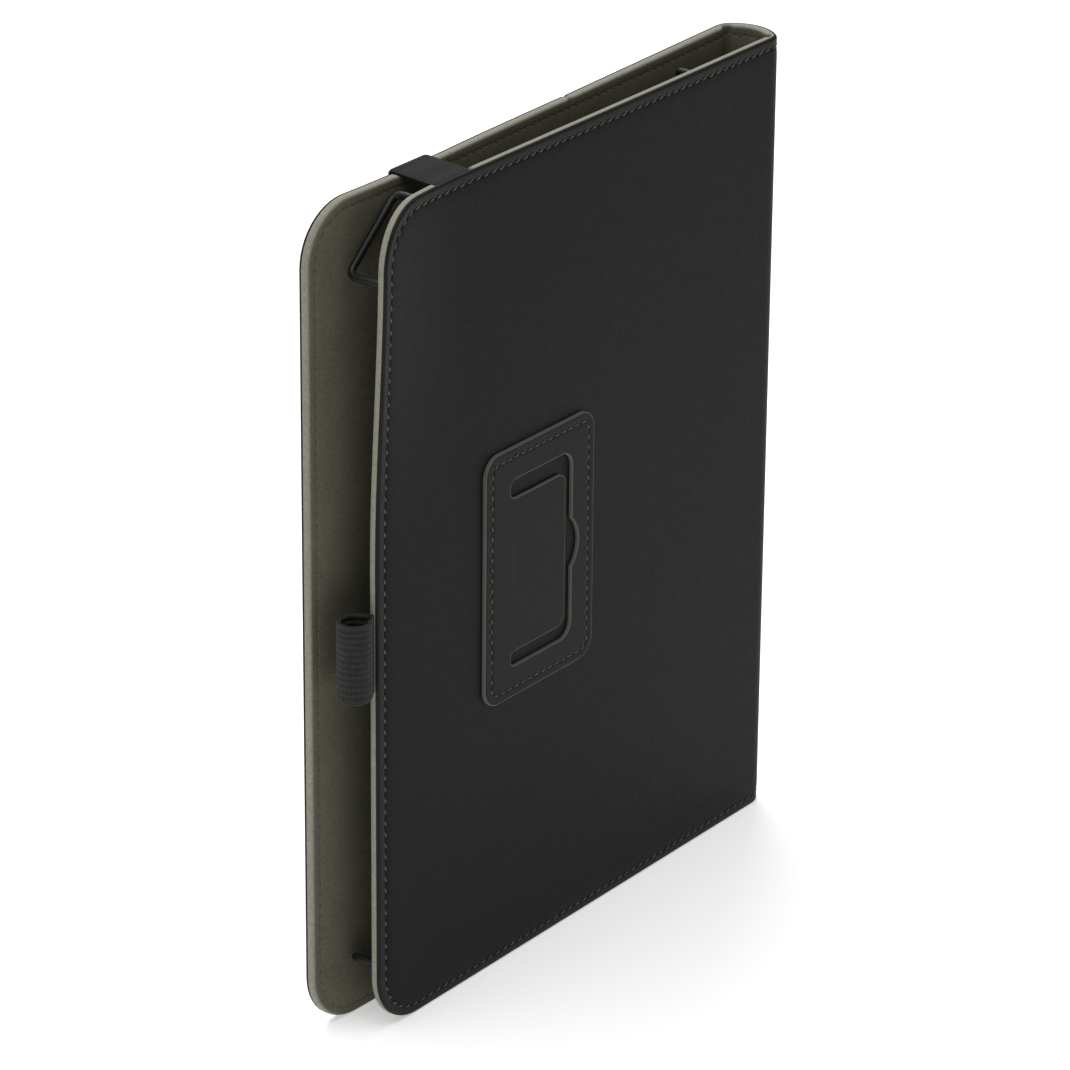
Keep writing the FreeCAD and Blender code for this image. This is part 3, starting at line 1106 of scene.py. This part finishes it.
@dataclass(frozen=True)
class Stitching:
    """A row of lockstitches, each a short waxed thread between two needle holes."""

    pitch: float = 3.7
    length: float = 2.5
    radius: float = 0.28
    slant: float = 0.42
    proud: float = 0.3
    sink: float = 0.75

    def sew(self, draft: Draft, path: list[Vector], lift: Callable) -> None:
        """Sew along a path.

        Args:
            draft: Where the stitches go.
            path: The path on the flat, as (s, z) points.
            lift: The place of a point at s, z and a height out of the surface.
        """
        lengths = [0.0]
        for first, second in zip(path, path[1:]):
            lengths.append(lengths[-1] + (second - first).length)
        count = max(1, round(lengths[-1] / self.pitch))
        step = lengths[-1] / count
        for i in range(count):
            middle = (i + 0.5) * step
            seat, way = self.along(path, lengths, middle)
            self.stitch(draft, seat, way, lift)

    def along(
        self, path: list[Vector], lengths: list[float], distance: float
    ) -> tuple[Vector, Vector]:
        """The place and direction at a distance along a path."""
        for i, (low, high) in enumerate(zip(lengths, lengths[1:])):
            if distance <= high:
                way = path[i + 1] - path[i]
                return path[i].lerp(path[i + 1], (distance - low) / (high - low)), way.normalized()
        return path[-1], (path[-1] - path[-2]).normalized()

    def stitch(self, draft: Draft, seat: Vector, way: Vector, lift: Callable) -> None:
        """Add one stitch that dives into its two needle holes.

        Args:
            draft: Where it goes.
            seat: Its middle on the flat.
            way: Its direction on the flat.
            lift: The place of a point at s, z and a height out of the surface.
        """
        side = Vector((-way.y, way.x))
        line = []
        for i in range(9):
            q = i / 4 - 1
            flat = seat + way * q * self.length / 2 + side * q * self.slant
            rise = self.proud * (1 - q * q) - self.sink * q**6 - self.radius * 0.4
            line.append(lift(flat.x, flat.y, rise))
        sweep_tube(draft, line, lambda share, turn: self.radius, 7)


STITCH = Stitching()
STITCH_FINE = Stitching(pitch=3.3, length=2.3, radius=0.26, slant=0.2, proud=0.28)
STITCH_SUNK = Stitching(radius=0.24, proud=0.16)


def seam_paths(stretch: Stretch, inset: float = BUILD.seam_inset) -> list[list[Vector]]:
    """The sewn lines of a stretch, on the flat.

    Args:
        stretch: The stretch.
        inset: How far in from the outline they run.

    Returns:
        One line round a free end, or one at the bottom and one at the top.
    """
    if stretch.free is not FreeEnd.NONE:
        return [[Vector((spot.s, spot.z)) for spot in stretch.ring(inset)]]
    lines = []
    for z in (stretch.low + inset, stretch.high - inset):
        lines.append([Vector((s, z)) for s in spread(stretch.start, stretch.end, 2.0)])
    return lines


def sew_stretch(stretch: Stretch, replaced: str | None) -> None:
    """Sew a stretch's edges on its leather and its lining.

    Args:
        stretch: The stretch.
        replaced: The node that stood for the thread, if there is one.
    """
    drafts = {Side.LEATHER: Draft(), Side.LINING: Draft()}
    rows = {Side.LEATHER: STITCH, Side.LINING: STITCH_SUNK}
    inset = BUILD.seam_inset
    for path in seam_paths(stretch):
        for side, draft in drafts.items():

            def lift(s: float, z: float, out: float, side: Side = side) -> Vector:
                """A point on the seam's face at a height out of it."""
                spot = Spot(s, z, inset)
                v = stretch.face_depth(side, spot) - side.value * out
                return stretch.point(s, v, z + stretch.dip(spot, side))

            rows[side].sew(draft, path, lift)
    threads = {Side.LEATHER: THREAD, Side.LINING: LINING_THREAD}
    for side, draft in drafts.items():
        piece = draft.piece(stretch.name + "_" + side.name.lower() + "_stitches", threads[side])
        if replaced:
            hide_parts(replaced)
        stretch.mount(piece)


# ---------------------------------------------------------------- sub-assemblies


@dataclass
class Cover:
    """The whole cover, one chain of stretches from the back's free edge to the front's."""

    back_end: float = extent("back_leather")[1].x
    front_fold_x: float = 195.0
    spine_depth: float = 21.6
    fold_half: float = 3.0
    crease_u: float = 83.5
    crease_half: float = 1.6
    inner_lean: float = 1.66
    outer_lean: float = 0.8
    overhang: float = 11.5
    spine_board_in: float = 1.4

    def __post_init__(self) -> None:
        """Lay the stretches end to end."""
        lean = math.radians(self.inner_lean)
        crease_x = self.front_fold_x - self.crease_u * math.cos(lean)
        crease_y = self.spine_depth - self.crease_u * math.sin(lean)
        outer_end = (crease_x + self.overhang) / math.cos(math.radians(self.outer_lean))
        self.back = BackPanel("back", ("back_cover",), 0.0, self.back_end, FreeEnd.START)
        self.back.close_at = tuple(x for x in BAND_FIT.columns() if x > BUILD.corner_r)
        arc = 2 * math.radians(SPINE_HALF_ANGLE) * SPINE_BEND_R
        self.spine = Curved("spine", ("spine",), 0.0, arc, column_step=1.0)
        self.inner = Flat(
            "inner_panel", ("front_inner_panel",), self.fold_half, self.crease_u - self.crease_half,
            x=self.front_fold_x, y=self.spine_depth, turn=180 + self.inner_lean,
        )
        self.outer = OuterPanel(
            "outer_panel", ("front_outer_panel",), self.crease_half, outer_end, FreeEnd.END,
            x=crease_x, y=crease_y, turn=180 + self.outer_lean,
        )
        cosine = math.cos(math.radians(self.outer_lean))
        self.outer.close_at = tuple((crease_x - x) / cosine for x in BAND_FIT.columns())
        inner_rim = self.spine.x + (self.spine.bend_r - BUILD.cover) * math.cos(math.radians(SPINE_HALF_ANGLE))
        self.back_fold = Fold(
            "back_fold", ("back_cover", "spine"), 0.0, FOLD_LENGTH, column_step=0.5,
            bend=(self.back_end, inner_rim), before=self.back, after=self.spine,
        )
        panel_x = self.front_fold_x - self.fold_half
        self.front_fold = Fold(
            "front_fold", ("spine", "front_inner_panel"), 0.0, FOLD_LENGTH, column_step=0.5,
            bend=(inner_rim, panel_x + 0.12), before=self.spine, after=self.inner,
        )
        self.crease = Crease(
            "crease", ("front_inner_panel", "front_outer_panel"), 0.0, 2 * self.crease_half,
            column_step=0.3, before=self.inner, after=self.outer,
        )
        self.crease.bend = (self.inner.line(self.inner.end)[0], self.outer.line(self.outer.start)[0])

    def stretches(self) -> list[Stretch]:
        """Every stretch, in order."""
        return [
            self.back, self.back_fold, self.spine, self.front_fold,
            self.inner, self.crease, self.outer,
        ]

    def build(self) -> None:
        """Make the skins, boards and stitches."""
        for stretch in self.stretches():
            stretch.leather_piece()
            lining = stretch.lining_piece()
            boarded = len(stretch.bodies) == 1
            sew_stretch(stretch, stretch.name + "_seam" if boarded else None)
        self.back.board_piece(self.back.start, self.back.end)
        self.inner.board_piece(self.inner.start, self.inner.end)
        self.outer.board_piece(self.outer.start, self.outer.end)
        self.spine.board_piece(self.spine_board_in, self.spine.end - self.spine_board_in)


def in_loop(point: Vector, loop: list[Vector]) -> bool:
    """Whether a flat point is inside a closed loop.

    Args:
        point: The point.
        loop: The loop's corners in order.

    Returns:
        True if it is inside.
    """
    inside = False
    for i, a in enumerate(loop):
        b = loop[i - 1]
        if (a.y > point.y) != (b.y > point.y):
            inside ^= point.x < (b.x - a.x) * (point.y - a.y) / (b.y - a.y) + a.x
    return inside


def arc(centre: tuple[float, float], radius: float, first: float, last: float, count: int) -> list[Vector]:
    """Points on an arc, both ends included.

    Args:
        centre: The arc's centre.
        radius: Its radius.
        first: Its first angle in degrees.
        last: Its last angle in degrees.
        count: How many steps it takes.

    Returns:
        The points.
    """
    points = []
    for i in range(count + 1):
        turn = math.radians(first + (last - first) * i / count)
        points.append(Vector((centre[0] + radius * math.cos(turn), centre[1] + radius * math.sin(turn))))
    return points


@dataclass
class StandPatch:
    """The sewn patch on the back, with a slot round a tongue that props the case open."""

    back: BackPanel
    thick: float = extent("back_leather")[0].y - extent("stand_patch")[0].y
    corner_r: float = 6.5
    slot_x: tuple[float, float] = (64.0, 91.5)
    slot_z: tuple[float, float] = (98.0, 158.5)
    slot_r: float = 5.0
    tongue_r: float = 3.5
    thumb_reach: float = 3.5
    thumb_width: float = 16.0
    edge_roll: float = 0.4
    groove: float = 0.2
    fill_step: float = 3.5

    def outer_loop(self, inset: float) -> list[Vector]:
        """The patch's outline, inset."""
        low, high = extent("stand_patch")
        x, z = (low.x + inset, high.x - inset), (low.z + inset, high.z - inset)
        radius = self.corner_r - inset
        loop = []
        corners = ((x[1], z[0], -90), (x[1], z[1], 0), (x[0], z[1], 90), (x[0], z[0], 180))
        for cx, cz, first in corners:
            centre = (
                cx - math.copysign(radius, cx - x[0] - 1e-6),
                cz - math.copysign(radius, cz - z[0] - 1e-6),
            )
            loop += arc(centre, radius, first, first + 90, 10)
        return loop

    def slot_loop(self, grow: float) -> list[Vector]:
        """The slot's outline, grown: two round-ended arms, a thumb notch and the tongue's root."""
        tongue_low, tongue_high = extent("stand_tongue")
        x_low, x_high = self.slot_x[0], self.slot_x[1] + grow
        low_arm = ((self.slot_z[0] + tongue_low.z) / 2, (tongue_low.z - self.slot_z[0]) / 2 + grow)
        high_arm = ((self.slot_z[1] + tongue_high.z) / 2, (self.slot_z[1] - tongue_high.z) / 2 + grow)
        radius = self.slot_r + grow
        z_low, z_high = self.slot_z[0] - grow, self.slot_z[1] + grow
        middle = (self.slot_z[0] + self.slot_z[1]) / 2
        reach = (self.thumb_width / 2) ** 2 + self.thumb_reach**2
        thumb_r = reach / (2 * self.thumb_reach)
        thumb_x = self.slot_x[1] + self.thumb_reach - thumb_r
        thumb_half = math.degrees(math.acos((x_high - thumb_x) / (thumb_r + grow)))
        loop = arc((x_low, low_arm[0]), low_arm[1], 90, 270, 12)
        loop += arc((x_high - radius, z_low + radius), radius, -90, 0, 10)
        loop += arc((thumb_x, middle), thumb_r + grow, -thumb_half, thumb_half, 20)
        loop += arc((x_high - radius, z_high - radius), radius, 0, 90, 10)
        loop += arc((x_low, high_arm[0]), high_arm[1], 90, 270, 12)
        return loop

    def place(self, x: float, z: float, out: float) -> Vector:
        """A point over the back leather at a height out of it."""
        return self.back.point(x, -out, z)

    def lay_rings(
        self, draft: Draft, loops: list[list[Vector]], heights: list[float], marks: list[float]
    ) -> None:
        """Join loops into a rolled edge.

        Args:
            draft: Where the faces go.
            loops: The loops from the foot of the edge inwards.
            heights: Each loop's height out of the leather.
            marks: Each loop's distance from the cut edge.
        """
        rows = []
        for loop, height, mark in zip(loops, heights, marks):
            rows.append([draft.spot(self.place(p.x, p.y, height), mark) for p in loop])
        for first, second in zip(rows, rows[1:]):
            draft.strip(first, second, closed=True)

    def fill(
        self, draft: Draft, outer: list[Vector], hole: list[Vector], height: float, mark: float
    ) -> None:
        """Fill a flat face between an outline and a hole.

        Args:
            draft: Where the faces go.
            outer: The outline.
            hole: The hole.
            height: The face's height out of the leather.
            mark: The outline's distance from the cut edge.
        """
        points = outer + hole
        edges = []
        for first, count in ((0, len(outer)), (len(outer), len(hole))):
            edges += [(first + i, first + (i + 1) % count) for i in range(count)]
        inner = []
        x = [p.x for p in outer]
        z = [p.y for p in outer]
        for px in spread(min(x), max(x), self.fill_step)[1:-1]:
            for pz in spread(min(z), max(z), self.fill_step)[1:-1]:
                point = Vector((px, pz))
                clear = min((point - p).length for p in points) > self.fill_step / 2
                if clear and in_loop(point, outer) and not in_loop(point, hole):
                    inner.append(point)
        flat = geometry.delaunay_2d_cdt(points + inner, edges, [], 0, 1e-5)
        for triangle in flat[2]:
            corners = [flat[0][i] for i in triangle]
            middle = sum(corners, Vector((0, 0))) / 3
            if in_loop(middle, outer) and not in_loop(middle, hole):
                draft.face([draft.spot(self.place(c.x, c.y, height), mark) for c in corners])

    def patch(self) -> None:
        """Make the patch: rolled cut edges, a sewn groove, and the slot through it."""
        draft = Draft()
        insets = (0.0, 0.0, 0.06, 0.2, 0.4, 1.2, 2.3, 2.75, 3.1, 3.45, 3.9, 4.6)
        seam = BUILD.seam_inset
        heights = [-0.1]
        for inset in insets[1:]:
            pulled = self.groove * math.exp(-(((inset - seam) / 0.4) ** 2))
            heights.append(self.thick - rolled(inset, self.edge_roll) - pulled)
        self.lay_rings(draft, [self.outer_loop(i) for i in insets], heights, list(insets))
        grown = (0.0, 0.0, 0.06, 0.2, 0.4, 0.8)
        slot_heights = [-0.1] + [self.thick - rolled(g, self.edge_roll) for g in grown[1:]]
        self.lay_rings(draft, [self.slot_loop(g) for g in grown], slot_heights, list(grown))
        self.fill(draft, self.outer_loop(insets[-1]), self.slot_loop(grown[-1]), self.thick, 4.0)
        self.fill(draft, self.outer_loop(0), self.slot_loop(0), -0.1, 0.0)
        piece = draft.piece("stand_patch_leather", PATCH_SKIN)
        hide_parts("stand_patch")
        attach(piece, "back_cover")

    def stitches(self) -> None:
        """Sew the patch down, round all four sides."""
        draft = Draft()
        loop = self.outer_loop(BUILD.seam_inset)
        height = self.thick - self.groove
        STITCH_FINE.sew(draft, loop + loop[:1], lambda x, z, out: self.place(x, z, height + out))
        piece = draft.piece("stand_patch_stitches", THREAD)
        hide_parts("patch_seam")
        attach(piece, "back_cover")

    def tongue(self) -> None:
        """Make the tongue and the fold that it lifts on."""
        low, high = extent("stand_tongue")
        root = extent("tongue_fold")[0]
        rings = (0.0, 0.06, 0.2, 0.4, 1.2, self.tongue_r)
        size = {"low": low.z, "high": high.z, "radius": self.tongue_r, "offsets": rings, "row_step": 3.5}
        blade = Flat("stand_tongue", ("stand_tongue",), low.x, high.x, FreeEnd.END, **size)
        fold = Flat("tongue_fold", ("back_cover", "stand_tongue"), root.x, low.x, column_step=0.4, **size)
        fold.bend = (root.x, low.x)
        foot = extent("back_leather")[0].y - high.y
        for stretch in (blade, fold):
            draft = Draft()
            stretch.bow = self.back.bow
            stretch.slab(
                draft,
                lambda spot: rolled(spot.edge, self.edge_roll) - self.thick,
                lambda spot: -foot,
            )
            piece = draft.piece(stretch.name + "_leather", PATCH_SKIN)
            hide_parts(stretch.name)
            stretch.mount(piece)

    def build(self) -> None:
        """Make the patch, its stitches and its tongue."""
        self.patch()
        self.stitches()
        self.tongue()


@dataclass
class PenLoop:
    """The loop for a pen: ribbed elastic, folded round and sewn into the back cover's hem."""

    low: float = extent("pen_loop")[0].z
    high: float = extent("pen_loop")[1].z
    centre: tuple[float, float] = (-6.4, 3.6)
    radius: float = 4.6
    tip: tuple[float, float] = (-0.4, 1.75)
    tail: float = 4.6
    half_thick: float = 0.42
    rib: float = 0.3
    ribs: int = 13

    def line(self) -> list[Vector]:
        """The elastic's plan line, from one tail round the loop to the other."""
        centre, tip = Vector(self.centre), Vector(self.tip)
        out = tip - centre
        heading = math.degrees(math.atan2(out.y, out.x))
        open_half = math.degrees(math.acos(self.radius / out.length))
        round_part = arc(self.centre, self.radius, heading + open_half, heading + 360 - open_half, 48)
        first = [tip.lerp(round_part[0], share) for share in (0.0, 0.12, 0.3, 0.6, 0.85)]
        last = [tip.lerp(round_part[-1], share) for share in (0.85, 0.6, 0.3, 0.12, 0.0)]
        flat = [Vector((self.tail, 2.05)), Vector((self.tail / 2, 2.05))] + first
        flat += round_part + last + [Vector((self.tail / 2, 1.4)), Vector((self.tail, 1.4))]
        middle = (self.low + self.high) / 2
        return [row(p.x, p.y, middle) for p in flat]

    def build(self) -> None:
        """Sweep the ribbed elastic."""
        draft = Draft()
        half = (self.high - self.low) / 2
        pitch = 2 * half / self.ribs
        line = self.line()
        whole = sum((b - a).length for a, b in zip(line, line[1:])) / MM

        def thick(along: float, w: float) -> float:
            """Half the thickness: ribs along the loop, fading in the flattened tails."""
            rib = self.rib * abs(math.sin(math.pi * (w + half) / pitch)) ** 0.7
            selvedge = 1 - 0.45 * smooth(half - 0.5, half, abs(w))
            in_hem = smooth(5.0, 8.0, min(along, whole - along))
            yarn = 1 + 0.05 * math.sin(along * 2 * math.pi / 0.9)
            return (self.half_thick * 0.7 + (self.half_thick * 0.3 + rib) * in_hem * yarn) * selvedge

        sweep_ribbon(draft, line, Vector((0, 0, 1)), spread(-half, half, pitch / 8), thick)
        piece = draft.piece("pen_loop_elastic", LOOP_ELASTIC, 70.0)
        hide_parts("pen_loop")
        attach(piece, "back_cover")


@dataclass
class ClosureBand:
    """The elastic that holds the case shut, from hem to hem over the front cover."""

    cover: Cover
    tail_y: float = 1.5
    tail_in: float = 4.7
    near_top: float = 0.62
    far_proud: float = 0.45
    floor_z: float = 0.72
    bend_r: float = 0.9
    pick: float = 1.0
    pick_height: float = 0.07
    keep: float = 0.14

    def front_y(self, z: float) -> float:
        """The Y of the band's middle line where it lies on the front cover."""
        outer = self.cover.outer
        heading = math.radians(outer.turn)
        s = (outer.x - BAND_FIT.middle) / -math.cos(heading)
        v = -(BAND_FIT.gap * 0.4 + BAND_FIT.thick / 2)
        return (outer.point(s, v, z) - ORIGIN).y / MM

    def corners(self) -> list[Vector]:
        """The band's route as corners in (y, z), before it is rounded."""
        top = BUILD.height
        high, near = top + self.far_proud, top - self.near_top
        down = spread(top - 6, 6, 12.0)
        route = [Vector((self.tail_y, top - self.tail_in)), Vector((self.tail_y, near))]
        route += [Vector((self.front_y(top), high))]
        route += [Vector((self.front_y(z), z)) for z in down]
        route += [Vector((self.front_y(0), self.floor_z)), Vector((self.tail_y, self.floor_z))]
        return route + [Vector((self.tail_y, self.tail_in))]

    def line(self) -> list[Vector]:
        """The rounded route, with a place at every fraction of a pick."""
        corners = self.corners()
        flat = [corners[0]]
        for before, corner, after in zip(corners, corners[1:], corners[2:]):
            back, ahead = (before - corner).normalized(), (after - corner).normalized()
            if back.dot(ahead) < -0.9:
                flat.append(corner)
                continue
            a, b = corner + back * self.bend_r, corner + ahead * self.bend_r
            for i in range(9):
                t = i / 8
                flat.append(a * (1 - t) ** 2 + corner * 2 * t * (1 - t) + b * t * t)
        flat.append(corners[-1])
        places = []
        for first, second in zip(flat, flat[1:]):
            for share in spread(0, 1, self.pick / 4 / max(1e-6, (second - first).length))[:-1]:
                places.append(first.lerp(second, share))
        places.append(flat[-1])
        return [row(BAND_FIT.middle, p.x, p.y) for p in places]

    def build(self) -> None:
        """Sweep the woven elastic and give it its own mesh."""
        draft = Draft()
        half = BAND_FIT.width / 2

        def thick(along: float, w: float) -> float:
            """Half the thickness: picks across the band and a thinner selvedge."""
            ridge = self.pick_height * math.cos(2 * math.pi * along / self.pick)
            selvedge = 1 - 0.5 * smooth(half - 0.9, half, abs(w))
            return (BAND_FIT.thick / 2 + ridge) * selvedge

        width = [-half, -half + 0.15, -half + 0.45] + spread(-half + 0.9, half - 0.9, 1.4)
        width += [half - 0.45, half - 0.15, half]
        sweep_ribbon(draft, self.line(), Vector((1, 0, 0)), width, thick)
        piece = draft.piece("closure_band_elastic", BAND_ELASTIC, 70.0)
        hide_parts("band_front_run", "band_top_run", "band_bottom_run")
        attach(piece, "closure_band")
        row(BAND_FIT.middle, self.tail_y, 0)
        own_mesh(piece)

    def dress_tails(self) -> None:
        """Give the sewn tails in the hem the band's own weave."""
        for name in ("band_top_tail", "band_bottom_tail"):
            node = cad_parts[name]
            node.data.materials.clear()
            node.data.materials.append(BAND_ELASTIC.material())


@dataclass
class CornerLoops:
    """The elastic cords that hold a tablet's corners, sewn into the back lining."""

    back: BackPanel
    diameter: float = 2.3
    side_x: tuple[float, float] = (2.2, 180.8)
    side_in: float = 22.0
    end_in: float = 3.6
    reach: float = 21.3
    bend_r: float = 3.2
    root_y: float = 4.9
    top_y: float = 11.9

    def feet(self, side: str, end: str) -> list[Vector]:
        """Where one loop's two legs stand, in millimetres."""
        x = self.side_x[0] if side == "free" else self.side_x[1]
        inwards = 1 if side == "free" else -1
        edge, down = (BUILD.height, -1) if end == "top" else (0, 1)
        return [
            Vector((x, 0, edge + down * self.side_in)),
            Vector((x + inwards * self.reach, 0, edge + down * self.end_in)),
        ]

    def radius(self, share: float, turn: float) -> float:
        """The cord's radius with the ridges of its braid."""
        ridge = math.cos(6 * turn + share * 150) + math.cos(6 * turn - share * 150)
        return self.diameter / 2 * (1 + 0.022 * ridge)

    def route(self, feet: list[Vector]) -> list[Vector]:
        """The cord's line, up from one foot, across and down to the other."""
        rise = [foot + Vector((0, self.root_y, 0)) for foot in feet]
        crown = [foot + Vector((0, self.top_y, 0)) for foot in feet]
        points = [rise[0]]
        for before, corner, after in ((rise[0], crown[0], crown[1]), (crown[0], crown[1], rise[1])):
            back, ahead = (before - corner).normalized(), (after - corner).normalized()
            a, b = corner + back * self.bend_r, corner + ahead * self.bend_r
            points += [a * (1 - t) ** 2 + corner * 2 * t * (1 - t) + b * t * t for t in spread(0, 1, 0.1)]
        points.append(rise[1])
        even = []
        for first, second in zip(points, points[1:]):
            even += [first.lerp(second, s) for s in spread(0, 1, 0.35 / (second - first).length)[:-1]]
        return [row(*p) for p in even + points[-1:]]

    def build(self) -> None:
        """Make every corner's cord and the sewn ends that it comes out of."""
        for side in ("free", "spine"):
            for end in ("top", "bottom"):
                self.cord(side, end)
                self.sewn_ends(side, end)

    def cord(self, side: str, end: str) -> None:
        """Make one corner's cord."""
        draft = Draft()
        sweep_tube(draft, self.route(self.feet(side, end)), self.radius, 24)
        name = "corner_loop_" + side + "_" + end
        piece = draft.piece(name + "_cord", CORD)
        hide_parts(name)
        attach(piece, name)

    def sewn_ends(self, side: str, end: str) -> None:
        """Make the two cord ends that stand in one corner's lining."""
        draft = Draft()
        for foot in self.feet(side, end):
            low = self.back.point(foot.x, BUILD.cover - 1.0, foot.z)
            high = row(foot.x, self.root_y + 0.4, foot.z)
            line = [low.lerp(high, s) for s in spread(0, 1, 0.35 * MM / (high - low).length)]
            sweep_tube(draft, line, lambda share, turn: self.diameter / 2 * 0.97, 24)
        name = side + "_" + end
        piece = draft.piece("loop_anchor_" + name + "_cord", CORD)
        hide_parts("loop_anchor_" + name)
        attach(piece, "back_cover")


# ---------------------------------------------------------------- studio


@dataclass
class Studio:
    """A pale paper floor, soft light and the camera."""

    floor_half: float = 3.0
    camera_at: tuple[float, float, float] = (-1.19200, -0.88744, 0.78444)
    heading: float = -0.92811
    pitch: float = 0.41683
    roll: float = 0.00895
    lens: float = 181.33
    ambient: float = 0.3

    def floor(self) -> None:
        """Lay the paper floor."""
        h = self.floor_half
        draft = Draft()
        steps = spread(-h, h, 0.5)
        for x, next_x in zip(steps, steps[1:]):
            for y, next_y in zip(steps, steps[1:]):
                corners = ((x, y), (next_x, y), (next_x, next_y), (x, next_y))
                draft.face([draft.spot(Vector((cx, cy, 0))) for cx, cy in corners])
        floor = draft.piece("paper_floor", SWEEP)

    def camera(self) -> None:
        """Set the camera up."""
        data = bpy.data.cameras.new("camera")
        data.sensor_width = 36.0
        data.lens = self.lens
        data.clip_start, data.clip_end = 0.05, 20.0
        camera = bpy.data.objects.new("camera", data)
        bpy.context.scene.collection.objects.link(camera)
        az, p, r = self.heading, self.pitch, self.roll
        ahead = Vector((-math.sin(az) * math.cos(p), math.cos(az) * math.cos(p), -math.sin(p)))
        right = Vector((math.cos(az), math.sin(az), 0))
        up = right.cross(ahead)
        level = right * math.cos(r) + up * math.sin(r)
        over = up * math.cos(r) - right * math.sin(r)
        turn = camera.matrix_world.copy()
        for column, axis in enumerate((level, over, -ahead)):
            for line in range(3):
                turn[line][column] = axis[line]
        turn.translation = Vector(self.camera_at)
        camera.matrix_world = turn
        bpy.context.scene.camera = camera

    def lamp(self, name: str, at: tuple, size: float, power: float) -> None:
        """Hang a soft light that faces the case.

        Args:
            name: The light's name.
            at: Where it hangs, in metres.
            size: Its width.
            power: Its watts.
        """
        data = bpy.data.lights.new(name, "AREA")
        data.shape = "DISK"
        data.size = size
        data.energy = power
        lamp = bpy.data.objects.new(name, data)
        bpy.context.scene.collection.objects.link(lamp)
        lamp.location = at
        away = Vector(at) - Vector((0, 0, 0.12))
        lamp.rotation_euler = away.to_track_quat("Z", "Y").to_euler()

    def build(self) -> None:
        """Set the whole studio up."""
        self.floor()
        self.camera()
        self.lamp("key_light", (-0.5, 0.1, 2.1), 2.4, 36.0)
        self.lamp("rim_light", (0.9, 1.0, 1.6), 1.2, 16.0)
        world = bpy.data.worlds.new("studio")
        bpy.context.scene.world = world
        world.use_nodes = True
        tree = world.node_tree
        seen = add_node(tree, "ShaderNodeLightPath").outputs["Is Camera Ray"]
        strength = add_node(
            tree, "ShaderNodeMapRange", {0: seen, 3: self.ambient, 4: 1.0}
        ).outputs[0]
        tree.links.new(strength, tree.nodes["Background"].inputs["Strength"])
        tree.nodes["Background"].inputs["Color"].default_value = (1.0, 1.0, 1.0, 1.0)
        bpy.context.scene.view_settings.view_transform = "Standard"


def main() -> None:
    """Build the case piece by piece, then the studio round it."""
    logging.basicConfig(level=logging.INFO, format="%(message)s")
    cover = Cover()
    cover.build()
    StandPatch(cover.back).build()
    PenLoop().build()
    band = ClosureBand(cover)
    band.build()
    band.dress_tails()
    CornerLoops(cover.back).build()
    Studio().build()


if __name__ == "__main__":
    main()
